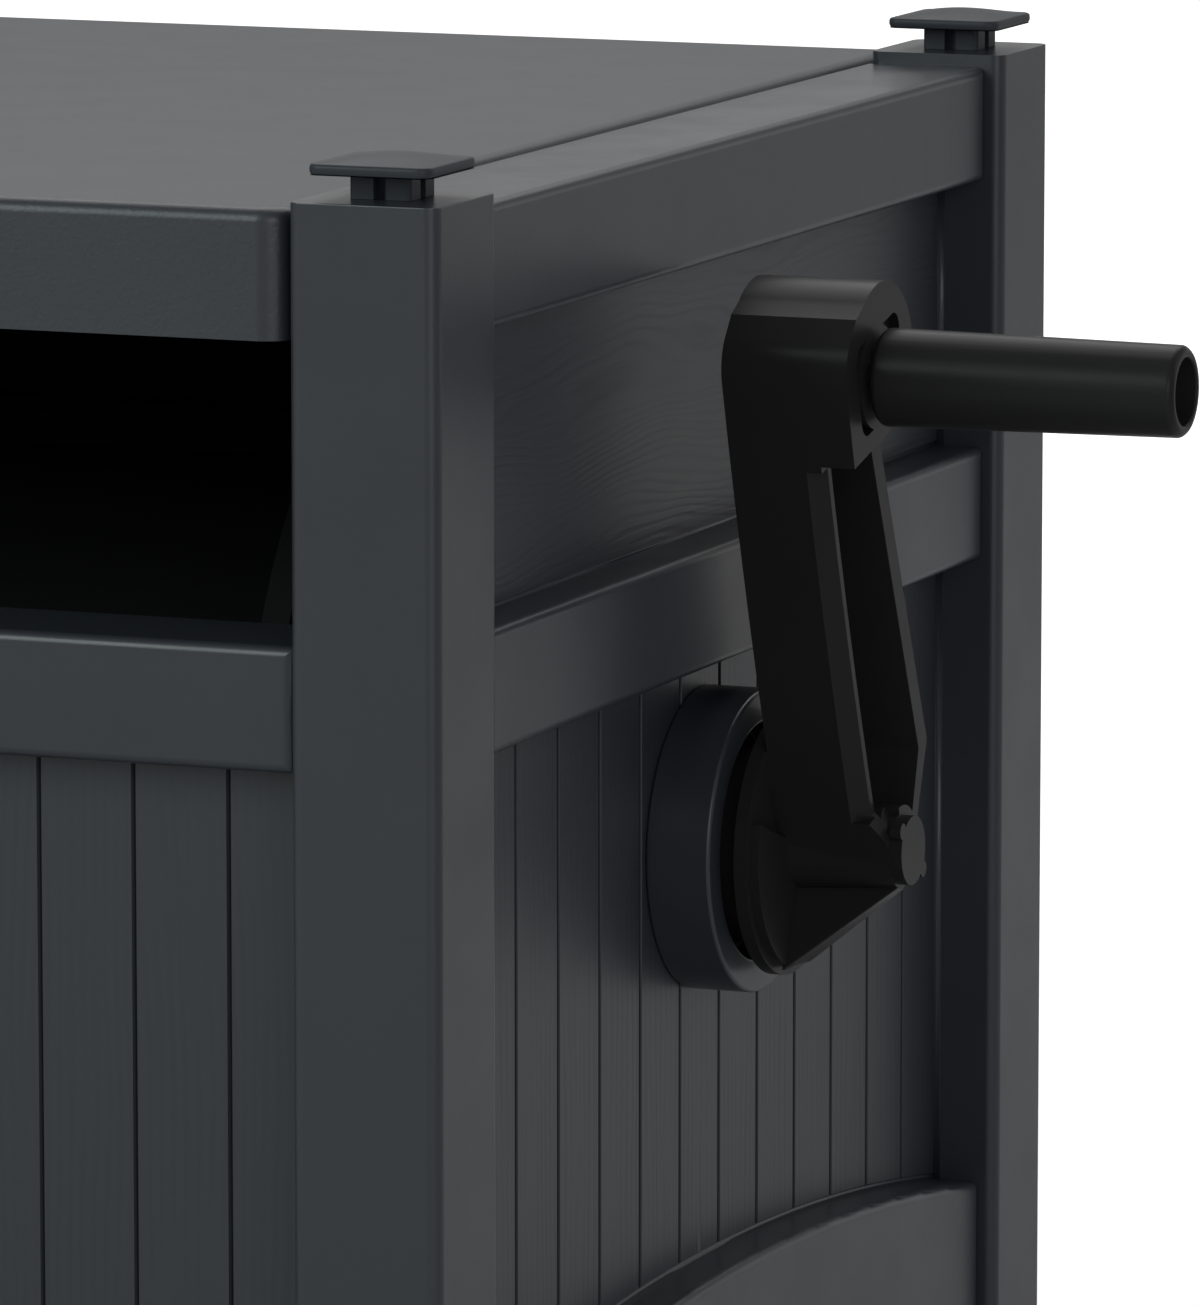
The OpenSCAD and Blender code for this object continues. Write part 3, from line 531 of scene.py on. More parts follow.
@dataclass(frozen=True)
class GrainFinish:
    """The box plastic with wood grain pressed into it, with painted shade darkening its colour in the
    grooves between planks, which are also duller.
    """

    name: str
    colour: Triple
    shade: Triple
    polish: tuple[float, float]
    grain: Grain
    axis: int
    plank: float
    face: float
    loops: float
    depth: float
    specular: float = 0.4
    strength: float = 0.55
    skin: float = 0.12
    seed_step: float = 3.71
    # Painted shade in the grooves: the depths where it starts and where it is full, and the colour's factor
    # there
    groove_start: float = 0.5 * MM
    groove_end: float = 1.2 * MM
    painted_groove_shade: float = 0.32
    groove_dull: float = 0.5

    def material(self) -> bpy.types.Material:
        """Builds the material on first use.

        Returns:
            The material.
        """
        made = bpy.data.materials.get(self.name)
        if made:
            return made
        material, maker, shader, place = new_material(self.name)
        parts = maker.add("ShaderNodeSeparateXYZ")
        maker.feed(parts.inputs[0], place)
        run, rise = parts.outputs[self.axis], parts.outputs[2]
        upright = self.grain is Grain.UPRIGHT
        along, across = (rise, run) if upright else (run, rise)
        board = maker.math("FLOOR", maker.math("DIVIDE", across, self.plank)) if upright else 0.0
        seed = maker.math("MULTIPLY", board, self.seed_step)
        # Painted shade in the grooves: the colour is scaled down with depth below the plate's face, from 1
        # on the face to the painted-shade factor deep in a groove
        out = maker.math("ABSOLUTE", parts.outputs[1 - self.axis])
        sunk = maker.math("SUBTRACT", self.face, out)
        light = maker.span(sunk, self.groove_start, self.groove_end, 1.0, self.painted_groove_shade)
        wood = place_group(maker, WOOD.tree(), Along=along, Across=across, Seed=seed, Loops=self.loops)
        skin = place_group(maker, SKIN.tree(), Vector=place)
        toned = maker.blend(wood.outputs["Tone"], self.shade, self.colour)
        dimmed = maker.add("ShaderNodeVectorMath", operation="SCALE")
        maker.feed(dimmed.inputs[0], toned)
        maker.feed(dimmed.inputs["Scale"], light)
        maker.feed(shader.inputs["Base Color"], dimmed.outputs[0])
        rough = maker.span(wood.outputs["Tone"], 0.0, 1.0, self.polish[1], self.polish[0])
        dull = maker.math("SUBTRACT", 1.0, light)
        maker.feed(shader.inputs["Roughness"], maker.math("MULTIPLY_ADD", dull, self.groove_dull, rough))
        shader.inputs["Specular IOR Level"].default_value = self.specular
        height = maker.math("MULTIPLY_ADD", skin.outputs["Height"], self.skin, wood.outputs["Height"])
        bump(maker, shader, height, self.strength, self.depth)
        return material


@dataclass(frozen=True)
class MetalFinish:
    """A turned or plated metal."""

    name: str
    colour: Triple
    shade: Triple
    polish: tuple[float, float]
    smudge_low: float = 0.35
    strength: float = 0.15
    relief: float = 0.1 * MM

    def material(self) -> bpy.types.Material:
        """Builds the material on first use.

        Returns:
            The material.
        """
        made = bpy.data.materials.get(self.name)
        if made:
            return made
        material, maker, shader, place = new_material(self.name)
        metal = place_group(maker, METAL.tree(), Vector=place)
        smudge = maker.span(metal.outputs["Smudge"], self.smudge_low, NOISE_HIGH, 0.0, 1.0)
        maker.feed(shader.inputs["Base Color"], maker.blend(smudge, self.colour, self.shade))
        rough = maker.span(metal.outputs["Smudge"], NOISE_LOW, NOISE_HIGH, *self.polish)
        maker.feed(shader.inputs["Roughness"], rough)
        shader.inputs["Metallic"].default_value = 1.0
        bump(maker, shader, metal.outputs["Height"], self.strength, self.relief)
        return material


# Outer faces of the plates behind the planks, and the planks' widths
FRONT_FACE = 237.0 * MM
SIDE_FACE = 345.0 * MM
FRONT_PITCH = 29.35 * MM
SIDE_PITCH = 32.95 * MM
PLANK_RELIEF = 0.06 * MM
BOARD_RELIEF = 0.22 * MM
WHOLE_BOARD = 1.0

ANTHRACITE = (0.0242, 0.0278, 0.0334)
ANTHRACITE_DARK = (0.0225, 0.0259, 0.0311)
GRAIN_DARK = (0.0196, 0.0225, 0.0271)
SATIN = (0.29, 0.35)
GRAINED = (0.36, 0.44)

BOX = PlasticFinish("anthracite_plastic", ANTHRACITE, ANTHRACITE_DARK, SATIN)
LID = PlasticFinish("lid_plastic", ANTHRACITE, ANTHRACITE_DARK, (0.385, 0.405), skin=0.42, fine=800.0)
CAP = PlasticFinish("cap_plastic", ANTHRACITE, ANTHRACITE_DARK, (0.40, 0.46), specular=0.18)
PLANK_FRONT = GrainFinish(
    "front_planks", ANTHRACITE, GRAIN_DARK, GRAINED, Grain.UPRIGHT,
    axis=0, plank=FRONT_PITCH, face=FRONT_FACE, loops=0.30, depth=PLANK_RELIEF,
)
# The side's grooves get stronger painted shade, starting closer to the plate's face
PLANK_SIDE = GrainFinish(
    "side_planks", ANTHRACITE, GRAIN_DARK, GRAINED, Grain.UPRIGHT,
    axis=1, plank=SIDE_PITCH, face=SIDE_FACE, loops=0.30, depth=PLANK_RELIEF,
    groove_start=0.05 * MM, groove_end=0.6 * MM, painted_groove_shade=0.06,
)
BOARD_SIDE = GrainFinish(
    "side_board", ANTHRACITE, GRAIN_DARK, GRAINED, Grain.LEVEL,
    axis=1, plank=WHOLE_BOARD, face=SIDE_FACE, loops=1.0, depth=BOARD_RELIEF,
)
BOARD_REAR = GrainFinish(
    "rear_board", ANTHRACITE, GRAIN_DARK, GRAINED, Grain.LEVEL,
    axis=0, plank=WHOLE_BOARD, face=FRONT_FACE, loops=1.0, depth=BOARD_RELIEF,
)
CRANK = PlasticFinish(
    "crank_black", (0.0150, 0.0150, 0.0150), (0.0135, 0.0135, 0.0135), (0.30, 0.36), specular=0.10, skin=0.06
)
BLACK = PlasticFinish(
    "black_moulding", (0.006, 0.006, 0.006), (0.0045, 0.0045, 0.0045), (0.42, 0.55), specular=0.3
)
REEL = PlasticFinish(
    "reel_moulding", (0.0070, 0.0070, 0.0074), (0.0058, 0.0058, 0.0062), (0.62, 0.72), specular=0.05
)
# Painted shade: the walls' inward faces get a darker colour than the box plastic, standing in for the shade
# inside the box
INSIDE = PlasticFinish(
    "inside_painted_shade", (0.0120, 0.0128, 0.0140), (0.0100, 0.0107, 0.0117), (0.6, 0.7), specular=0.06
)
BEARING = PlasticFinish(
    "bearing_acetal", (0.70, 0.70, 0.66), (0.64, 0.64, 0.60), (0.28, 0.36), specular=0.5, skin=0.05
)
RUBBER = PlasticFinish(
    "seal_rubber", (0.012, 0.012, 0.012), (0.009, 0.009, 0.009), (0.62, 0.74), specular=0.3, skin=0.2
)
STEEL = MetalFinish("zinc_steel", (0.60, 0.61, 0.62), (0.50, 0.51, 0.53), (0.28, 0.42))
BRASS = MetalFinish("turned_brass", (0.68, 0.48, 0.20), (0.58, 0.40, 0.16), (0.24, 0.36))

Finish = PlasticFinish | GrainFinish | MetalFinish


# Meshes

# Distances in metres up to which points of a solid, and of a wall that was cut, are one
MERGE = 2e-6
MERGE_CUT = 1e-5
# How much more the larger faces count in a smooth normal
FACE_WEIGHT = 80


@dataclass(frozen=True)
class EdgeBreak:
    """How far the sharp edges of a moulded piece are rounded, and which edges stay sharp."""

    width: float
    segments: int = 3
    angle: float = 38.0
    sharp: float = 34.0
    flat: float = 0.4


PLAIN = EdgeBreak(0.0)


def link(name: str, data: bpy.types.ID) -> bpy.types.Object:
    """Makes an object for some data at the origin and puts it into the scene.

    Args:
        name: the object's name.
        data: its mesh, lamp or camera.

    Returns:
        The new object.
    """
    made = bpy.data.objects.new(name, data)
    bpy.context.collection.objects.link(made)
    return made


def joined(node: str, frame: dict, flat: float) -> bmesh.types.BMesh:
    """Copies a node's solid with its triangles joined into flat faces.

    Args:
        node: the node's name.
        flat: angle in degrees up to which neighbouring triangles are one face.

    Returns:
        The copy, to be used up by settle.
    """
    work = bmesh.new()
    work.from_mesh(frame["nodes"][node].data)
    bmesh.ops.remove_doubles(work, verts=work.verts, dist=MERGE)
    bmesh.ops.dissolve_limit(work, angle_limit=math.radians(flat), verts=work.verts, edges=work.edges)
    return work


def settle(work: bmesh.types.BMesh, node: str) -> bpy.types.Object:
    """Turns a working copy into an object, without the normals that no longer fit it.

    Args:
        work: the copy; it is freed.
        node: the node that it was copied from.

    Returns:
        The new object at the origin.
    """
    mesh = bpy.data.meshes.new(node + "_copy")
    work.to_mesh(mesh)
    work.free()
    kept = mesh.attributes.get("custom_normal")
    if kept:
        mesh.attributes.remove(kept)
    return link(node + "_copy", mesh)


def soften(node: str, frame: dict, edge: EdgeBreak) -> bpy.types.Object:
    """Copies a node's solid, joins its triangles and rounds its sharp edges.

    Args:
        node: the node's name.
        edge: the rounding.

    Returns:
        A new object at the origin.
    """
    return break_edges(settle(joined(node, frame, edge.flat), node), node, edge)


def break_edges(rough: bpy.types.Object, node: str, edge: EdgeBreak) -> bpy.types.Object:
    """Rounds an object's sharp edges and turns it into a plain mesh object.

    Args:
        rough: the object; it is removed.
        node: the node that it was copied from.
        edge: the rounding, which may be none.

    Returns:
        The new object at the origin.
    """
    if edge.width > 0.0:
        bevel = rough.modifiers.new("edge", "BEVEL")
        bevel.width = edge.width
        bevel.segments = edge.segments
        bevel.limit_method = "ANGLE"
        bevel.angle_limit = math.radians(edge.angle)
        bevel.use_clamp_overlap = True
        bevel.miter_outer = "MITER_ARC"
    return freeze(rough, node + "_moulded", edge.sharp)


def freeze(rough: bpy.types.Object, name: str, sharp: float) -> bpy.types.Object:
    """Turns an object with modifiers into a plain smooth-shaded mesh object.

    Args:
        rough: object whose modifiers are used up; it is removed.
        name: name of the result.
        sharp: angle in degrees above which an edge stays sharp.

    Returns:
        The new object at the origin.
    """
    scene_graph = bpy.context.evaluated_depsgraph_get()
    mesh = bpy.data.meshes.new_from_object(rough.evaluated_get(scene_graph))
    bpy.data.objects.remove(rough)
    mesh.name = name
    made = link(name, mesh)
    smooth(made, sharp)
    return made


def smooth(piece: bpy.types.Object, angle: float) -> None:
    """Shades a piece smooth, large faces staying flat.

    Args:
        piece: the piece.
        angle: angle in degrees above which an edge stays sharp.
    """
    piece.data.shade_smooth()
    piece.data.set_sharp_from_angle(angle=math.radians(angle))
    weigh = piece.modifiers.new("face_weight", "WEIGHTED_NORMAL")
    weigh.keep_sharp = True
    weigh.weight = FACE_WEIGHT


def closed_piece(
    name: str, points: Sequence[Vector], faces: Sequence[tuple[int, ...]]
) -> bpy.types.Object:
    """Makes an object from a closed mesh and turns its faces outwards.

    Args:
        name: name of the object and its mesh.
        points: the mesh's points.
        faces: point numbers of each face.

    Returns:
        The new object at the origin.
    """
    mesh = bpy.data.meshes.new(name)
    mesh.from_pydata(points, [], faces)
    work = bmesh.new()
    work.from_mesh(mesh)
    bmesh.ops.recalc_face_normals(work, faces=work.faces)
    work.to_mesh(mesh)
    work.free()
    return link(name, mesh)


def loft(name: str, rings: Sequence[Sequence[Vector]]) -> bpy.types.Object:
    """Makes a closed mesh through rings of equally many points.

    Args:
        name: name of the new object.
        rings: the rings in order; the first and the last are closed by a face.

    Returns:
        The new object at the origin.
    """
    around = len(rings[0])
    points = [point for ring in rings for point in ring]
    faces = []
    for level in range(len(rings) - 1):
        low, high = level * around, (level + 1) * around
        for i in range(around):
            j = (i + 1) % around
            faces.append((low + i, low + j, high + j, high + i))
    faces.append(tuple(reversed(range(around))))
    faces.append(tuple(range(len(points) - around, len(points))))
    return closed_piece(name, points, faces)


def turns_of(count: int) -> list[float]:
    """Equal turns round a circle, in radians."""
    return [2.0 * math.pi * i / count for i in range(count)]


def round_point(x: float, radius: float, turn: float) -> Vector:
    """Point at a radius and a turn round the X axis."""
    return Vector((x, radius * math.cos(turn), radius * math.sin(turn)))


def hex_reach(turn: float, flat: float) -> float:
    """Distance from the middle of a hexagon to its edge, for a turn and half its width across flats."""
    return flat / math.cos((turn + math.pi / 6) % (math.pi / 3) - math.pi / 6)


# Repeats


def geometry_group(name: str, inputs: Sequence[tuple[str, str]]) -> NodeMaker:
    """Starts a Geometry Nodes group with named inputs and one geometry output.

    Args:
        name: the group's name.
        inputs: name and socket type of each input.

    Returns:
        A maker on the new group.
    """
    tree = bpy.data.node_groups.new(name, "GeometryNodeTree")
    for label, kind in inputs:
        tree.interface.new_socket(label, in_out="INPUT", socket_type=kind)
    tree.interface.new_socket("Geometry", in_out="OUTPUT", socket_type="NodeSocketGeometry")
    return NodeMaker(tree)


def finish_group(maker: NodeMaker, made: object, material: object) -> None:
    """Ends a Geometry Nodes group with Realize Instances and Set Material.

    Args:
        maker: maker on the group.
        made: socket of the geometry.
        material: socket of the material.
    """
    real = maker.add("GeometryNodeRealizeInstances")
    maker.feed(real.inputs[0], made)
    coated = maker.add("GeometryNodeSetMaterial")
    maker.feed(coated.inputs["Geometry"], real.outputs[0])
    maker.feed(coated.inputs["Material"], material)
    maker.feed(maker.add("NodeGroupOutput").inputs[0], coated.outputs[0])


@dataclass(frozen=True)
class RingField:
    """One piece repeated round a line along X, at one end or more."""

    name: str = "ring_field"

    def tree(self) -> bpy.types.NodeTree:
        """Builds the group on first use.

        Returns:
            The group.
        """
        made = bpy.data.node_groups.get(self.name)
        if made:
            return made
        maker = geometry_group(
            self.name,
            [
                ("Geometry", "NodeSocketGeometry"),
                ("Around", "NodeSocketInt"),
                ("Ends", "NodeSocketInt"),
                ("Radius", "NodeSocketFloat"),
                ("Start", "NodeSocketFloat"),
                ("First", "NodeSocketFloat"),
                ("Apart", "NodeSocketFloat"),
                ("Height", "NodeSocketFloat"),
                ("Material", "NodeSocketMaterial"),
            ],
        )
        given = maker.add("NodeGroupInput").outputs
        index = maker.add("GeometryNodeInputIndex").outputs[0]
        share = maker.math("DIVIDE", index, given["Around"])
        turn = maker.math("MULTIPLY_ADD", share, 2.0 * math.pi, given["Start"])
        out = maker.math("MULTIPLY_ADD", maker.math("FLOOR", share), given["Apart"], given["First"])
        inward = maker.math("MULTIPLY", given["Radius"], -1.0)
        side = maker.math("MULTIPLY", maker.math("SINE", turn), inward)
        rise = maker.math("MULTIPLY_ADD", maker.math("COSINE", turn), given["Radius"], given["Height"])
        points = maker.add("GeometryNodePoints")
        maker.feed(points.inputs["Count"], maker.math("MULTIPLY", given["Around"], given["Ends"]))
        maker.feed(points.inputs["Position"], maker.vector(out, side, rise))
        placed = maker.add("GeometryNodeInstanceOnPoints")
        maker.feed(placed.inputs["Points"], points.outputs[0])
        maker.feed(placed.inputs["Instance"], given["Geometry"])
        maker.feed(placed.inputs["Rotation"], maker.vector(turn, 0.0))
        finish_group(maker, placed.outputs[0], given["Material"])
        return maker.tree


@dataclass(frozen=True)
class ThreadField:
    """The ridge of a pipe thread: a spiral with a round section along a line."""

    name: str = "pipe_thread"
    turn_points: int = 48
    section_points: int = 10

    def tree(self) -> bpy.types.NodeTree:
        """Builds the group on first use.

        Returns:
            The group.
        """
        made = bpy.data.node_groups.get(self.name)
        if made:
            return made
        maker = geometry_group(
            self.name,
            [
                ("Geometry", "NodeSocketGeometry"),
                ("Radius", "NodeSocketFloat"),
                ("Length", "NodeSocketFloat"),
                ("Pitch", "NodeSocketFloat"),
                ("Ridge", "NodeSocketFloat"),
                ("Foot", "NodeSocketVector"),
                ("Turn", "NodeSocketVector"),
                ("Material", "NodeSocketMaterial"),
            ],
        )
        given = maker.add("NodeGroupInput").outputs
        spiral = maker.add("GeometryNodeCurveSpiral")
        middle = maker.math("SUBTRACT", given["Radius"], given["Ridge"])
        run = maker.math("SUBTRACT", given["Length"], maker.math("MULTIPLY", given["Ridge"], 2.0))
        spiral.inputs["Resolution"].default_value = self.turn_points
        maker.feed(spiral.inputs["Rotations"], maker.math("DIVIDE", run, given["Pitch"]))
        maker.feed(spiral.inputs["Start Radius"], middle)
        maker.feed(spiral.inputs["End Radius"], middle)
        maker.feed(spiral.inputs["Height"], run)
        section = maker.add("GeometryNodeCurvePrimitiveCircle")
        section.inputs["Resolution"].default_value = self.section_points
        maker.feed(section.inputs["Radius"], given["Ridge"])
        ridge = maker.add("GeometryNodeCurveToMesh")
        maker.feed(ridge.inputs["Curve"], spiral.outputs[0])
        maker.feed(ridge.inputs["Profile Curve"], section.outputs[0])
        ridge.inputs["Fill Caps"].default_value = True
        placed = maker.add("GeometryNodeTransform")
        maker.feed(placed.inputs["Geometry"], ridge.outputs[0])
        maker.feed(placed.inputs["Translation"], given["Foot"])
        maker.feed(placed.inputs["Rotation"], given["Turn"])
        finish_group(maker, placed.outputs[0], given["Material"])
        return maker.tree


RING = RingField()
THREAD = ThreadField()


def run_group(
    seed: bpy.types.Object, tree: bpy.types.NodeTree, name: str, sharp: float, **values: object
) -> bpy.types.Object:
    """Runs a Geometry Nodes group on a piece and keeps what it makes as a plain mesh.

    Args:
        seed: the piece that goes in; it is removed.
        tree: the group.
        name: name of the result.
        sharp: angle in degrees above which an edge stays sharp.
        values: input values by name.

    Returns:
        The new object at the origin.
    """
    modifier = seed.modifiers.new(tree.name, "NODES")
    modifier.node_group = tree
    for item in tree.interface.items_tree:
        if item.in_out == "INPUT" and item.name in values:
            modifier[item.identifier] = values[item.name]
    return freeze(seed, name, sharp)


# Dressing


def dress(piece: bpy.types.Object, body: Body, slot: Slot, *nodes: str) -> None:
    """Rides a piece on its body and lets it stand for CAD nodes.

    Args:
        piece: the piece.
        body: the body that it rides on.
        slot: its material slot; not used.
        nodes: the nodes that it stands for.
    """
    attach(piece, body.value)
    if nodes:
        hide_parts(*nodes)
    LOG.info("piece %s on %s: %d faces", piece.name, body.value, len(piece.data.polygons))


def paint(piece: bpy.types.Object, *finishes: Finish) -> None:
    """Gives a piece its materials.

    Args:
        piece: the piece.
        finishes: its finishes in slot order.
    """
    piece.data.materials.clear()
    for finish in finishes:
        piece.data.materials.append(finish.material())


def coat(frame: dict, nodes: Sequence[str], finish: Finish) -> None:
    """Gives CAD nodes that stay as they are a finish.

    Args:
        nodes: the nodes.
        finish: their finish.
    """
    for node in nodes:
        slots = frame["nodes"][node].data.materials
        slots.clear()
        slots.append(finish.material())
        LOG.info("node %s in %s", node, finish.name)


def mould(node: str, frame: dict, edge: EdgeBreak, finish: Finish, body: Body, slot: Slot) -> None:
    """Makes the piece that stands for a node, with its edges rounded.

    Args:
        node: the node's name.
        edge: the rounding.
        finish: the piece's finish.
        body: the body that it rides on.
        slot: its material slot.
    """
    piece = soften(node, frame, edge)
    paint(piece, finish)
    dress(piece, body, slot, node)


# Sub-assemblies


@dataclass
class Corners:
    """Posts, caps and feet at the four corners.

    The rim of a cap is rounded below and above by pairs of inset and height, in shares of cap_round.
    """

    frame: dict
    post_edge: EdgeBreak = EdgeBreak(0.5 * MM, 2)
    stem_edge: EdgeBreak = EdgeBreak(0.4 * MM, 2)
    foot_edge: EdgeBreak = EdgeBreak(0.8 * MM, 3)
    cap_edge: float = 3.2 * MM
    cap_crown: float = 2.2 * MM
    cap_corner: float = 4.0 * MM
    cap_round: float = 1.1 * MM
    rim_below: tuple[tuple[float, float], ...] = ((1.0, 0.0), (0.3, 0.3), (0.0, 1.0))
    rim_above: tuple[tuple[float, float], ...] = ((0.0, 1.0), (0.12, 0.5), (0.5, 0.12))
    cap_sharp: float = 40.0
    corner_points: int = 7
    side_points: int = 12
    crown_rings: int = 14

    def build(self) -> None:
        """Makes every corner's pieces."""
        for end in ("front", "rear"):
            for side in ("left", "right"):
                place = f"{end}_{side}"
                mould("post_" + place, self.frame, self.post_edge, BOX, Body.CASE, Slot.BOX)
                mould("foot_" + place, self.frame, self.foot_edge, BLACK, Body.CASE, Slot.BLACK)
                self._cap("cap_" + place)

    def _cap(self, node: str) -> None:
        """Makes one cap: the stem of its solid, closed at the top, under a smooth pillow.

        Args:
            node: the cap's node.
        """
        low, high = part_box(node)
        pillow_low = high[2] - self.cap_crown - self.cap_edge
        stem = soften(node, self.frame, self.stem_edge)
        work = bmesh.new()
        work.from_mesh(stem.data)
        every = [*work.verts, *work.edges, *work.faces]
        bmesh.ops.bisect_plane(
            work, geom=every, plane_co=(0, 0, pillow_low), plane_no=(0, 0, 1), clear_outer=True
        )
        bmesh.ops.holes_fill(work, edges=[edge for edge in work.edges if edge.is_boundary])
        pillow = loft(node + "_pillow", self._pillow(low, high))
        work.from_mesh(pillow.data)
        bpy.data.objects.remove(pillow)
        work.to_mesh(stem.data)
        work.free()
        stem.modifiers.clear()
        smooth(stem, self.cap_sharp)
        paint(stem, CAP)
        dress(stem, Body.CASE, Slot.BOX, node)

    def _outline(self, half: float, corner: float) -> list[tuple[float, float]]:
        """Points round a square with round corners.

        Args:
            half: half of the square's width.
            corner: radius of its corners.

        Returns:
            The points, with steps along the straight sides too.
        """
        reach = half - corner
        quarter = []
        for step in range(self.corner_points):
            turn = math.pi / 2 * step / (self.corner_points - 1)
            quarter.append((reach + corner * math.cos(turn), reach + corner * math.sin(turn)))
        for step in range(1, self.side_points):
            quarter.append((reach - 2.0 * reach * step / self.side_points, half))
        points = []
        for number in range(4):
            cos, sin = math.cos(math.pi / 2 * number), math.sin(math.pi / 2 * number)
            points += [(x * cos - y * sin, x * sin + y * cos) for x, y in quarter]
        return points

    def _pillow(self, low: Sequence[float], high: Sequence[float]) -> list[list[Vector]]:
        """Lays the rings of a cap's pillow.

        Args:
            low: low corner of the cap's box.
            high: high corner of the cap's box.

        Returns:
            The rings, from the underside over the rim to the crown.
        """
        middle = Vector(((low[0] + high[0]) / 2, (low[1] + high[1]) / 2, 0.0))
        half = (high[0] - low[0]) / 2
        rim_high = high[2] - self.cap_crown
        rim_low = rim_high - self.cap_edge
        soft = self.cap_round
        levels = [(soft * inset, rim_low + soft * rise) for inset, rise in self.rim_below]
        levels += [(soft * inset, rim_high - soft * drop) for inset, drop in self.rim_above]
        rings = []
        for inset, z in levels:
            outline = self._outline(half - inset, self.cap_corner - inset)
            rings.append([middle + Vector((x, y, z)) for x, y in outline])
        flat = half - soft
        top = self._outline(flat, self.cap_corner - soft)
        for step in range(self.crown_rings):
            share = 1.0 - step / self.crown_rings
            ring = []
            for x, y in top:
                rise = (1.0 - (x * share / flat) ** 2) * (1.0 - (y * share / flat) ** 2)
                ring.append(middle + Vector((x * share, y * share, rim_high + self.cap_crown * rise)))
            rings.append(ring)
        return rings


@dataclass(frozen=True)
class PlankSet:
    """How the grooves of a wall lie along it, in the solid and in the photograph."""

    solid_pitch: float
    pitch: float
    middle_groove: bool
    count: int
    half_width: float
    depth: float

    def places(self) -> list[float]:
        """Places the grooves along the wall.

        Returns:
            Their places, counted from the middle.
        """
        shift = 0.0 if self.middle_groove else 0.5
        first = 0 if self.middle_groove else 1
        steps = [i - shift for i in range(first, self.count + 1)]
        return [side * step * self.pitch for step in steps for side in ((1, -1) if step else (1,))]


@dataclass(frozen=True)
class WallSide:
    """A wall's place: the axis that it faces, its side and the outer face of the posts there."""

    axis: int
    sign: int
    outer: float

    def depth(self, point: Sequence[float]) -> float:
        """Depth of a point behind the posts' outer face."""
        return (self.outer - point[self.axis]) * self.sign

    def along(self, point: Sequence[float]) -> float:
        """Place of a point along the wall."""
        return point[1 - self.axis]

    def point(self, along: float, depth: float, height: float) -> Vector:
        """Finds a point on the wall.

        Args:
            along: its place along the wall.
            depth: its depth behind the posts' outer face.
            height: its height.

        Returns:
            The point.
        """
        made = Vector((0.0, 0.0, height))
        made[self.axis] = self.outer - self.sign * depth
        made[1 - self.axis] = along
        return made

    def direction(self, along: float, outward: float, upward: float) -> Vector:
        """Finds a direction on the wall.

        Args:
            along: its part along the wall.
            outward: its part away from the box.
            upward: its part upwards.

        Returns:
            The direction, as long as its parts make it.
        """
        made = Vector((0.0, 0.0, upward))
        made[self.axis] = self.sign * outward
        made[1 - self.axis] = along
        return made


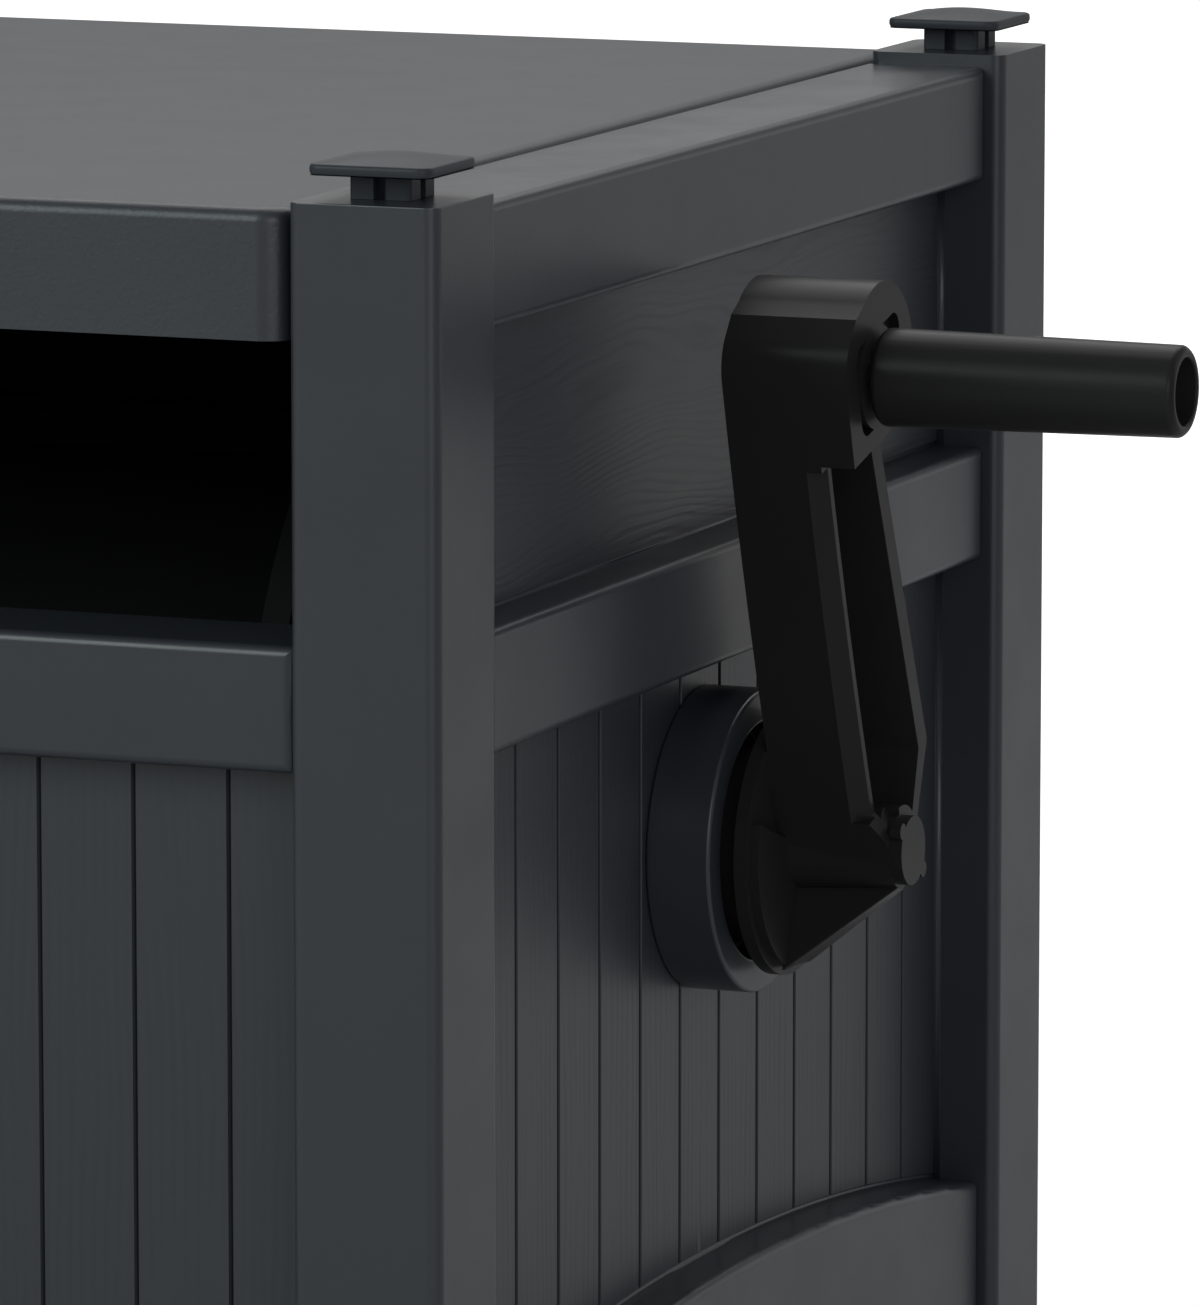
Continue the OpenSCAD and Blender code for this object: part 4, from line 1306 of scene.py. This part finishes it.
@dataclass
class Walls:
    """The four plank walls and the tray.

    Depths are counted inwards from the posts' outer face, and heights from the ground. The grooves of the
    solid's plate are levelled, and new ones are cut where the photograph has them.
    """

    frame: dict
    tray_edge: EdgeBreak = EdgeBreak(0.45 * MM, 2)
    front_planks: PlankSet = PlankSet(
        solid_pitch=28.1 * MM, pitch=FRONT_PITCH, middle_groove=True, count=10,
        half_width=0.75 * MM, depth=1.3 * MM,
    )
    side_planks: PlankSet = PlankSet(
        solid_pitch=32.0 * MM, pitch=SIDE_PITCH, middle_groove=False, count=6,
        half_width=1.25 * MM, depth=1.8 * MM,
    )
    plate_depth: float = 21.0 * MM
    solid_groove: float = 1.6 * MM
    solid_half: float = 1.05 * MM
    groove_lift: float = 0.02 * MM
    groove_bite: float = 0.4
    mid_low: float = 308.5 * MM
    mid_top: float = 344.5 * MM
    rail_set: float = 5.5 * MM
    rail_height: float = 36.0 * MM
    rail_round: float = 3.0 * MM
    rail_wall: float = 3.0 * MM
    arch_top: float = 122.0 * MM
    arch_rise: float = 17.0 * MM
    arch_height: float = 75.0 * MM
    reach: float = 0.3 * MM
    plate_near: float = 0.02 * MM
    cove: float = 1.8 * MM
    cove_steps: int = 5
    cove_stops: int = 48
    cove_root: float = 0.1
    end_round: float = 4.0 * MM
    end_facing: float = 0.75
    core_share: float = 0.5
    normal_near: float = 0.5
    outward: float = 0.3
    level_angle: float = 0.1
    sharp: float = 40.0

    def build(self) -> None:
        """Makes the walls, each with its planks and boards in their own grain."""
        self._wall("front_panel", 1, -1, self.front_planks, PLANK_FRONT, BOARD_REAR)
        self._wall("rear_panel", 1, 1, self.front_planks, PLANK_FRONT, BOARD_REAR)
        right = self._wall("right_side_panel", 0, 1, self.side_planks, PLANK_SIDE, BOARD_SIDE)
        self._turned("left_side_panel", right)
        mould("base_tray", self.frame, self.tray_edge, REEL, Body.CASE, Slot.REEL)

    def _turned(self, node: str, wall: bpy.types.Object) -> None:
        """Makes a wall from the one on the other side, turned half round.

        Args:
            node: the new wall's node.
            wall: the wall on the other side.
        """
        mesh = wall.data.copy()
        mesh.name = node + "_moulded"
        mesh.transform(Matrix.Rotation(math.pi, 4, "Z"))
        dress(link(node + "_moulded", mesh), Body.CASE, Slot.BOX, node)

    def _wall(
        self, node: str, axis: int, sign: int, planks: PlankSet, plank: Finish, board: Finish
    ) -> bpy.types.Object:
        """Makes one wall.

        Args:
            node: the wall's node.
            axis: 0 where the wall faces X, 1 where it faces Y.
            sign: the side of the box that it stands on.
            planks: where the grooves lie.
            plank: finish of the planks below the middle rail.
            board: finish of the board above it.

        Returns:
            The wall.
        """
        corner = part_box("post_front_left")[0] if sign < 0 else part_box("post_rear_right")[1]
        side = WallSide(axis, sign, corner[axis])
        rough = self._filled(node, side, planks)
        cutter = self._grooves(node, side, planks)
        cut = rough.modifiers.new("grooves", "BOOLEAN")
        cut.operation = "DIFFERENCE"
        cut.solver = "EXACT"
        cut.object = cutter
        piece = freeze(rough, node + "_moulded", self.sharp)
        bpy.data.objects.remove(cutter)
        piece.modifiers.clear()
        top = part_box(node)[1][2]
        self._add_coves(piece.data, side, top)
        self._rail_normals(piece.data, side, top)
        paint(piece, BOX, plank, board, INSIDE)
        for face in piece.data.polygons:
            face.material_index = self._face_kind(face, side).value
        dress(piece, Body.CASE, Slot.BOX, node)
        return piece

    def _face_kind(self, face: bpy.types.MeshPolygon, side: WallSide) -> WallFace:
        """Tells which of a wall's materials a face has.

        Args:
            face: the face.
            side: the wall's place.

        Returns:
            The kind of face.
        """
        sunk = side.depth(face.center) - self.plate_depth
        facing = face.normal[side.axis] * side.sign
        if facing > self.outward and -self.reach < sunk < self.solid_groove + self.reach:
            return WallFace.PLANK if face.center[2] < self._parting() else WallFace.BOARD
        # Inward faces take the darker finish, painted shade for the inside of the box
        return WallFace.INSIDE if facing < -self.outward else WallFace.RAIL

    def _filled(self, node: str, side: WallSide, planks: PlankSet) -> bpy.types.Object:
        """Copies a wall's solid and levels its grooves with the plate.

        Args:
            node: the wall's node.
            side: the wall's place.
            planks: where the solid's grooves lie.

        Returns:
            The copy, with an edge all round where the planks end and the board starts.
        """
        work = bmesh.new()
        work.from_mesh(self.frame["nodes"][node].data)
        bmesh.ops.remove_doubles(work, verts=work.verts, dist=MERGE)
        for vert in work.verts:
            sunk = side.depth(vert.co) - self.plate_depth
            aside = side.along(vert.co) / planks.solid_pitch
            aside = abs(aside - round(aside)) * planks.solid_pitch
            in_groove = self.reach < sunk < self.solid_groove + self.reach and aside < self.solid_half
            if in_groove and vert.co[2] < self.mid_low + self.rail_wall:
                vert.co = side.point(side.along(vert.co), self.plate_depth, vert.co[2])
        bmesh.ops.dissolve_degenerate(work, dist=MERGE / 2, edges=work.edges)
        flat = math.radians(self.level_angle)
        bmesh.ops.dissolve_limit(work, angle_limit=flat, verts=work.verts, edges=work.edges)
        every = [*work.verts, *work.edges, *work.faces]
        bmesh.ops.bisect_plane(work, geom=every, plane_co=(0, 0, self._parting()), plane_no=(0, 0, 1))
        return settle(work, node)

    def _grooves(self, node: str, side: WallSide, planks: PlankSet) -> bpy.types.Object:
        """Makes the wedges that cut a wall's grooves, from the bottom rail up into the middle rail.

        Args:
            node: the wall's node.
            side: the wall's place.
            planks: where the grooves lie.

        Returns:
            The wedges in one object.
        """
        points: list[Vector] = []
        faces: list[tuple[int, ...]] = []
        top = self.plate_depth - self.groove_lift
        wide = planks.half_width * (1 + self.groove_lift / planks.depth)
        bite = self.groove_bite * self.rail_wall
        for place in planks.places():
            start = len(points)
            for height in (self._arch_level(side, place) - bite, self.mid_low + bite):
                points.append(side.point(place - wide, top, height))
                points.append(side.point(place + wide, top, height))
                points.append(side.point(place, self.plate_depth + planks.depth, height))
            ring = (start, start + 1, start + 2)
            faces += [ring, tuple(i + 3 for i in reversed(ring))]
            faces += [(a, a + 3, b + 3, b) for a, b in zip(ring, ring[1:] + ring[:1])]
        return closed_piece(node + "_wedges", points, faces)

    def _parting(self) -> float:
        """Height inside the middle rail at which the planks end and the board starts."""
        return (self.mid_low + self.mid_top) / 2

    def _half_length(self, side: WallSide) -> float:
        """Half of the clear length between the posts."""
        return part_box("post_rear_right")[0][1 - side.axis]

    def _bend(self, side: WallSide) -> float:
        """Radius of the bottom rail's arched ledge."""
        return (self._half_length(side) ** 2 + self.arch_rise**2) / (2 * self.arch_rise)

    def _arch_level(self, side: WallSide, along: float) -> float:
        """Height of the bottom rail's arched ledge at a place along the wall."""
        bend = self._bend(side)
        return self.arch_top - bend + math.sqrt(bend**2 - along**2)

    def _cove_strips(self, side: WallSide, top: float) -> list[list[list[Vector]]]:
        """Lays the coves in the inner corners between the plate, the rails and the posts.

        Args:
            side: the wall's place.
            top: top of the wall.

        Returns:
            For each cove, the rings of points along it.
        """
        size, plate, half = self.cove, self.plate_depth, self._half_length(side)
        turns = [math.pi / 2 * i / self.cove_steps for i in range(self.cove_steps + 1)]
        arc = [(1.0 - math.sin(turn), 1.0 - math.cos(turn)) for turn in turns]
        arc.append((-self.cove_root, -self.cove_root))
        stops = [half * (2.0 * i / self.cove_stops - 1.0) for i in range(self.cove_stops + 1)]
        ledges = [([(x, self._arch_level(side, x)) for x in stops], 1.0)]
        corners = [(self._arch_level(side, half), self.mid_low)]
        under = top - self.rail_height
        if under > self.mid_top:
            ledges.append(([(-half, self.mid_top), (half, self.mid_top)], 1.0))
            ledges.append(([(-half, under), (half, under)], -1.0))
            corners.append((self.mid_top, under))
        strips = []
        for places, way in ledges:
            strips.append(
                [[side.point(x, plate - a * size, z + way * b * size) for a, b in arc] for x, z in places]
            )
        for heights in corners:
            for end in (-1.0, 1.0):
                edge = [(end * (half - a * size), plate - b * size) for a, b in arc]
                strips.append([[side.point(along, depth, z) for along, depth in edge] for z in heights])
        return strips

    def _add_coves(self, mesh: bpy.types.Mesh, side: WallSide, top: float) -> None:
        """Cleans a wall after the cut and adds its small coves.

        Args:
            mesh: the wall's mesh.
            side: the wall's place.
            top: top of the wall.
        """
        work = bmesh.new()
        work.from_mesh(mesh)
        bmesh.ops.remove_doubles(work, verts=work.verts, dist=MERGE_CUT)
        bmesh.ops.dissolve_degenerate(work, dist=MERGE_CUT, edges=work.edges)
        for strip in self._cove_strips(side, top):
            rows = [[work.verts.new(point) for point in row] for row in strip]
            made = [work.faces.new(rows[0]), work.faces.new(reversed(rows[-1]))]
            around = len(rows[0])
            for first, second in zip(rows, rows[1:]):
                for i in range(around):
                    j = (i + 1) % around
                    made.append(work.faces.new((first[i], second[i], second[j], first[j])))
            for face in made:
                face.smooth = True
            bmesh.ops.recalc_face_normals(work, faces=made)
        bmesh.ops.triangulate(work, faces=work.faces, quad_method="BEAUTY", ngon_method="BEAUTY")
        work.to_mesh(mesh)
        work.free()

    def _rail_normals(self, mesh: bpy.types.Mesh, side: WallSide, top: float) -> None:
        """Gives the rails' faces and roundings their true normals, which the triangles only approach.

        Args:
            mesh: the wall's mesh, shaded smooth.
            side: the wall's place.
            top: top of the wall.
        """
        normals = [Vector(corner.vector) for corner in mesh.corner_normals]
        inner = self._half_length(side) - self.end_round
        for face in mesh.polygons:
            sideways = abs(face.normal[1 - side.axis]) > self.end_facing
            if sideways or side.depth(face.center) > self.plate_depth - self.plate_near:
                continue
            if abs(side.along(face.center)) > inner:
                continue
            for index in face.loop_indices:
                point = mesh.vertices[mesh.loops[index].vertex_index].co
                true = self._rail_normal(point, face.center[2], side, top)
                if true and true.dot(face.normal) > self.normal_near:
                    normals[index] = true
        mesh.normals_split_custom_set(normals)

    def _rail_normal(self, point: Vector, height: float, side: WallSide, top: float) -> Vector | None:
        """Finds the normal of the rail that a point lies on.

        Args:
            point: the point.
            height: height of the middle of its face, which tells the rail.
            side: the wall's place.
            top: top of the wall.

        Returns:
            The normal, or None where the point lies on no rail's surface.
        """
        if height < self.arch_top + self.reach:
            bend = self._bend(side)
            along, rise = side.along(point), point[2] - (self.arch_top - bend)
            level = math.hypot(along, rise)
            up = (along / level, rise / level)
            low, high = bend - self.arch_height, bend
        else:
            rails = [(self.mid_low, self.mid_top), (top - self.rail_height, top)]
            low, high = min(rails, key=lambda rail: abs(sum(rail) / 2 - height))
            up, level = (0.0, 1.0), point[2]
        out_part = max(self.rail_set + self.rail_round - side.depth(point), 0.0)
        up_part = level - min(max(level, low + self.rail_round), high - self.rail_round)
        length = math.hypot(out_part, up_part)
        if length < self.core_share * self.rail_round:
            return None
        return side.direction(up[0] * up_part, out_part, up[1] * up_part) / length


@dataclass
class LidShell:
    """The hinged lid and its pins."""

    frame: dict
    edge: EdgeBreak = EdgeBreak(0.6 * MM, 3, angle=50.0)

    def build(self) -> None:
        """Makes the lid and finishes its pins."""
        mould("lid", self.frame, self.edge, LID, Body.LID, Slot.BOX)
        coat(self.frame, ["lid_hinge_pins"], STEEL)


@dataclass
class CrankSet:
    """Collar, crank arm, hub cap and grip on the right side.

    A screw's head is turned by pairs of radius and depth, in shares of the head's own.
    """

    frame: dict
    collar_edge: EdgeBreak = EdgeBreak(1.2 * MM, 4)
    arm_edge: EdgeBreak = EdgeBreak(0.9 * MM, 3, angle=40.0, sharp=18.0)
    shaft_edge: EdgeBreak = EdgeBreak(0.8 * MM, 3)
    grip_edge: EdgeBreak = EdgeBreak(0.7 * MM, 3)
    lean: float = 14.0
    head_corner: tuple[float, float] = (-26.4 * MM, 165.0 * MM)
    head_reach: float = 2.0 * MM
    head_round: float = 7.0 * MM
    head_steps: int = 6
    grip_end: float = 8.0 * MM
    grip_less: float = 2.5 * MM
    screws: int = 4
    screw_ring: float = 35.0 * MM
    screw_r: float = 2.5 * MM
    screw_head_r: float = 4.5 * MM
    screw_head_t: float = 3.0 * MM
    screw_head: tuple[tuple[float, float], ...] = ((1.0, 1.0), (1.0, 0.6), (0.9, 0.2), (0.7, 0.0))
    screw_sharp: float = 34.0
    socket_flat: float = 1.5 * MM
    socket_share: float = 0.6
    screw_points: int = 36

    def build(self) -> None:
        """Makes the crank's pieces."""
        mould("crank_collar", self.frame, self.collar_edge, BOX, Body.CASE, Slot.BOX)
        mould("crank_collar_nut", self.frame, self.shaft_edge, BLACK, Body.CASE, Slot.BLACK)
        self._arm()
        mould("hub_cap", self.frame, PLAIN, CRANK, Body.REEL, Slot.CRANK)
        self._grip()
        mould("crank_shaft", self.frame, self.shaft_edge, BLACK, Body.REEL, Slot.BLACK)
        coat(self.frame, ["crank_bush"], BEARING)
        coat(self.frame, ["crank_bolt", "grip_spindle", "grip_nut"], STEEL)
        self._screws()

    def _arm(self) -> None:
        """Makes the arm, its head rounded towards the front."""
        low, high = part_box("reel_drum")
        cos, sin = math.cos(math.radians(self.lean)), math.sin(math.radians(self.lean))
        across, up = self.head_corner
        place = Vector((
            0.0,
            (low[1] + high[1]) / 2 + across * cos - up * sin,
            (low[2] + high[2]) / 2 + across * sin + up * cos,
        ))
        work = joined("crank_arm", self.frame, self.arm_edge.flat)
        found = []
        for edge in work.edges:
            away = max((Vector((0.0, *vert.co[1:])) - place).length for vert in edge.verts)
            if away < self.head_reach < edge.calc_length():
                found.append(edge)
        if not found:
            LOG.warning("no edge at the corner of the crank's head")
        bmesh.ops.bevel(
            work, geom=found, offset=self.head_round, offset_type="OFFSET", segments=self.head_steps,
            profile=0.5, affect="EDGES", clamp_overlap=True,
        )
        piece = break_edges(settle(work, "crank_arm"), "crank_arm", self.arm_edge)
        paint(piece, CRANK)
        dress(piece, Body.REEL, Slot.CRANK, "crank_arm")

    def _grip(self) -> None:
        """Makes the grip, as long as the photograph shows it."""
        piece = soften("crank_grip", self.frame, self.grip_edge)
        end = max(vert.co[0] for vert in piece.data.vertices)
        for vert in piece.data.vertices:
            if vert.co[0] > end - self.grip_end:
                vert.co[0] -= self.grip_less
        paint(piece, CRANK)
        dress(piece, Body.GRIP, Slot.CRANK, "crank_grip")

    def _screws(self) -> None:
        """Makes the button-head screws that hold the shaft to the reel."""
        low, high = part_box("shaft_screws")
        around = turns_of(self.screw_points)
        seat, head_r = -self.screw_head_t, self.screw_head_r
        profile = [(self.screw_r, low[0] - high[0]), (self.screw_r, seat)]
        profile += [(head_r * wide, seat * deep) for wide, deep in self.screw_head]
        rings = [[round_point(x, radius, turn) for turn in around] for radius, x in profile]
        for depth in (0.0, seat * self.socket_share):
            rings.append([round_point(depth, hex_reach(turn, self.socket_flat), turn) for turn in around])
        field = run_group(
            loft("shaft_screw", rings), RING.tree(), "shaft_screw_set", self.screw_sharp,
            Around=self.screws, Ends=1, Radius=self.screw_ring, Start=0.0, First=high[0], Apart=0.0,
            Height=(low[2] + high[2]) / 2, Material=STEEL.material(),
        )
        dress(field, Body.REEL, Slot.STEEL, "shaft_screws")


@dataclass(frozen=True)
class PipeEnd:
    """A brass piece that ends in a pipe thread."""

    node: str
    radius: float = 13.2 * MM
    length: float = 16.0 * MM
    pitch: float = 1.81 * MM
    ridge: float = 0.72 * MM
    core_share: float = 1.6
    near: float = 0.05 * MM
    sharp: float = 60.0

    def build(self, frame: dict, body: Body, foot: Sequence[float], turn: Sequence[float]) -> None:
        """Makes the piece with a slimmer core, and the ridge of its thread.

        Args:
            body: the body that the piece rides on.
            foot: where the thread starts.
            turn: turn of the thread's axis from +Z, in radians.
        """
        core = soften(self.node, frame, PLAIN)
        start = Vector(foot)
        axis = Vector((0.0, 0.0, 1.0))
        axis.rotate(Euler(turn))
        slimmer = 1.0 - self.core_share * self.ridge / self.radius
        for point in core.data.vertices:
            along = (point.co - start).dot(axis)
            across = point.co - start - axis * along
            if abs(across.length - self.radius) < self.near:
                point.co = start + axis * along + across * slimmer
        paint(core, BRASS)
        dress(core, body, Slot.BRASS, self.node)
        seed = link(self.node + "_seed", bpy.data.meshes.new(self.node + "_seed"))
        ridge = run_group(
            seed, THREAD.tree(), self.node + "_thread", self.sharp, Radius=self.radius,
            Length=self.length, Pitch=self.pitch, Ridge=self.ridge, Foot=tuple(foot), Turn=tuple(turn),
            Material=BRASS.material(),
        )
        dress(ridge, body, Slot.BRASS)


@dataclass
class ReelSet:
    """Drum, flanges and what holds them together."""

    frame: dict
    edge: EdgeBreak = EdgeBreak(0.7 * MM, 2)
    rods: int = 4
    rod_r: float = 3.0 * MM
    rod_ring: float = 86.0 * MM
    rod_turn: float = 15.0
    nut_r: float = 5.7 * MM
    nut_t: float = 5.0 * MM
    nut_crown: float = 0.97
    nut_slope: float = 30.0
    nut_sharp: float = 34.0
    nut_points: int = 48
    outlet: PipeEnd = PipeEnd("hose_outlet")
    outlet_foot: Triple = (-0.228, -0.07637, 0.17563)
    outlet_turn: float = 135.0

    def build(self) -> None:
        """Makes the reel's pieces."""
        for node in ("reel_drum", "left_reel_flange", "right_reel_flange"):
            mould(node, self.frame, self.edge, REEL, Body.REEL, Slot.REEL)
        coat(self.frame, ["drum_tie_rods"], STEEL)
        coat(self.frame, ["reel_bush"], BEARING)
        coat(self.frame, ["swivel_elbow"], BLACK)
        self._nuts()
        turn = (math.radians(self.outlet_turn), 0.0, 0.0)
        self.outlet.build(self.frame, Body.REEL, self.outlet_foot, turn)

    def _nuts(self) -> None:
        """Makes the chamfered nuts on the ends of the tie rods."""
        low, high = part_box("tie_rod_nuts")
        around = turns_of(self.nut_points)
        flat = self.nut_r * math.cos(math.pi / 6)
        crown = flat * self.nut_crown
        half = self.nut_t / 2
        slope = math.tan(math.radians(self.nut_slope))
        rings = []
        for side in (-1.0, 1.0):
            bore = [round_point(side * half, self.rod_r, turn) for turn in around]
            face = [round_point(side * half, crown, turn) for turn in around]
            edge = []
            for turn in around:
                reach = hex_reach(turn, flat)
                edge.append(round_point(side * (half - (reach - crown) * slope), reach, turn))
            rings += [bore, face, edge] if side < 0 else [edge, face, bore]
        field = run_group(
            loft("tie_rod_nut", rings), RING.tree(), "tie_rod_nut_set", self.nut_sharp,
            Around=self.rods, Ends=2, Radius=self.rod_ring, Start=math.radians(self.rod_turn),
            First=low[0] + half, Apart=high[0] - low[0] - self.nut_t, Height=(low[2] + high[2]) / 2,
            Material=STEEL.material(),
        )
        dress(field, Body.REEL, Slot.STEEL, "tie_rod_nuts")


@dataclass
class InletSet:
    """The fixed water inlet on the left side."""

    frame: dict
    edge: EdgeBreak = EdgeBreak(1.2 * MM, 4)
    pipe: PipeEnd = PipeEnd("inlet_tube")
    pipe_foot: Triple = (-0.3615, 0.0, 0.252)
    pipe_turn: float = -90.0

    def build(self) -> None:
        """Makes the inlet's pieces."""
        mould("inlet_collar", self.frame, self.edge, BOX, Body.CASE, Slot.BOX)
        coat(self.frame, ["inlet_collar_nut"], BLACK)
        coat(self.frame, ["inlet_bush"], BEARING)
        coat(self.frame, ["inlet_lock_nut"], BRASS)
        turn = (0.0, math.radians(self.pipe_turn), 0.0)
        self.pipe.build(self.frame, Body.CASE, self.pipe_foot, turn)
        coat(self.frame, ["inlet_o_rings"], RUBBER)


# Studio


@dataclass(frozen=True)
class Lamp:
    """A square area lamp: where it stands, the point that it faces, its side, power and colour."""

    name: str
    place: Triple
    aim: Triple
    size: float
    power: float
    colour: Triple

    def build(self) -> None:
        """Adds the lamp."""
        data = bpy.data.lights.new(self.name, "AREA")
        data.energy = self.power
        data.color = self.colour
        data.size = self.size
        lamp = link(self.name, data)
        lamp.location = self.place
        facing = Vector(self.aim) - Vector(self.place)
        lamp.rotation_euler = facing.to_track_quat("-Z", "Y").to_euler()


def seen_directly(maker: NodeMaker) -> bpy.types.NodeSocket:
    """Tells the camera's rays, straight or through glass, from the rays that light the object.

    Args:
        maker: maker on the tree.

    Returns:
        A socket that is 1 for the camera's rays and 0 for others.
    """
    path = maker.add("ShaderNodeLightPath").outputs
    return maker.math("MAXIMUM", path["Is Camera Ray"], path["Is Transmission Ray"])


def flat_card(name: str, corners: Sequence[Sequence[float]]) -> bpy.types.Object:
    """Makes a flat piece of the studio.

    Args:
        name: its name.
        corners: its four corners in order.

    Returns:
        The new object.
    """
    mesh = bpy.data.meshes.new(name)
    mesh.from_pydata(corners, [], [(0, 1, 2, 3)])
    return link(name, mesh)


@dataclass
class Studio:
    """Floor, light and camera."""

    place: Triple = (1.4224, -2.8160, 0.7773)
    yaw: float = 21.51
    pitch: float = 8.846
    lens: float = 279.46
    sensor: float = 36.0
    sight: float = 100.0
    ambient: float = 0.26
    floor_size: float = 40.0
    floor_drop: float = 0.5 * MM
    floor_tone: float = 0.62
    floor_rough: float = 0.9
    floor_specular: float = 0.1
    floor_near: float = 0.9
    floor_far: float = 3.0
    floor_glow: tuple[float, float] = (0.62, 0.98)
    card_place: float = 7.0
    card_height: float = 1.9
    card_glow: float = 0.62
    lamps: tuple[Lamp, ...] = (
        Lamp("front_left", (-1.8, -3.0, 2.0), (0.0, 0.0, 0.25), 2.2, 82.0, (0.93, 1.04, 1.02)),
        Lamp("front_right", (2.6, -2.8, 1.3), (0.2, 0.0, 0.25), 2.0, 31.0, (1.0, 0.98, 1.06)),
        Lamp("overhead", (-0.3, 2.0, 3.2), (0.1, 0.0, 0.3), 3.4, 62.0, (1.0, 1.0, 1.0)),
        Lamp("right_rear", (3.2, 1.6, 1.6), (0.3, 0.0, 0.25), 1.8, 10.0, (1.0, 0.93, 0.97)),
    )

    def build(self) -> None:
        """Sets up everything around the object."""
        self._world()
        self._floor()
        self._backdrop()
        for lamp in self.lamps:
            lamp.build()
        self._camera()
        bpy.context.scene.view_settings.view_transform = "Standard"

    def _world(self) -> None:
        """Makes a plain world: white where it is seen, softer where it lights."""
        world = bpy.data.worlds.new("studio")
        bpy.context.scene.world = world
        world.use_nodes = True
        maker = NodeMaker(world.node_tree)
        back = world.node_tree.nodes["Background"]
        back.inputs["Color"].default_value = (1.0, 1.0, 1.0, 1.0)
        strength = maker.span(seen_directly(maker), 0.0, 1.0, self.ambient, 1.0)
        maker.feed(back.inputs["Strength"], strength)

    def _floor(self) -> None:
        """Makes a pale floor that keeps the shadow near the object and runs out to white."""
        half = self.floor_size / 2
        floor = flat_card("floor", [(-half, -half, 0), (half, -half, 0), (half, half, 0), (-half, half, 0)])
        floor.location.z = -self.floor_drop
        material, maker, shader, place = new_material("pale_floor")
        shader.inputs["Base Color"].default_value = (self.floor_tone, self.floor_tone, self.floor_tone, 1.0)
        shader.inputs["Roughness"].default_value = self.floor_rough
        shader.inputs["Specular IOR Level"].default_value = self.floor_specular
        glow = maker.add("ShaderNodeEmission")
        shown = seen_directly(maker)
        far = maker.add("ShaderNodeVectorMath", operation="LENGTH")
        maker.feed(far.inputs[0], place)
        lift = maker.span(far.outputs["Value"], self.floor_near, self.floor_far, *self.floor_glow)
        maker.feed(glow.inputs["Strength"], maker.math("MULTIPLY", shown, lift))
        both = maker.add("ShaderNodeAddShader")
        maker.feed(both.inputs[0], shader.outputs[0])
        maker.feed(both.inputs[1], glow.outputs[0])
        maker.feed(material.node_tree.nodes["Material Output"].inputs["Surface"], both.outputs[0])
        floor.data.materials.append(material)

    def _backdrop(self) -> None:
        """Makes a white card behind the object, low enough to leave the sky darker in reflections."""
        half, back, high = self.floor_size / 2, self.card_place, self.card_height
        corners = [(-half, back, 0.0), (half, back, 0.0), (half, back, high), (-half, back, high)]
        card = flat_card("backdrop", corners)
        material = bpy.data.materials.new("white_card")
        material.use_nodes = True
        maker = NodeMaker(material.node_tree)
        glow = maker.add("ShaderNodeEmission")
        strength = maker.span(seen_directly(maker), 0.0, 1.0, self.card_glow, 1.0)
        maker.feed(glow.inputs["Strength"], strength)
        maker.feed(material.node_tree.nodes["Material Output"].inputs["Surface"], glow.outputs[0])
        card.data.materials.append(material)

    def _camera(self) -> None:
        """Sets the camera at the photograph's place."""
        data = bpy.data.cameras.new("camera")
        data.sensor_fit = "VERTICAL"
        data.sensor_height = self.sensor
        data.lens = self.lens
        data.clip_end = self.sight
        camera = link("camera", data)
        camera.location = self.place
        camera.rotation_euler = (math.radians(90.0 - self.pitch), 0.0, math.radians(self.yaw))
        bpy.context.scene.camera = camera


def main() -> None:
    """Builds every sub-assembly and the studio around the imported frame."""
    logging.basicConfig(level=logging.INFO, format="%(message)s")
    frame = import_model()
    for kind in (Corners, Walls, LidShell, CrankSet, ReelSet, InletSet):
        kind(frame).build()
    Studio().build()


if __name__ == "__main__":
    main()
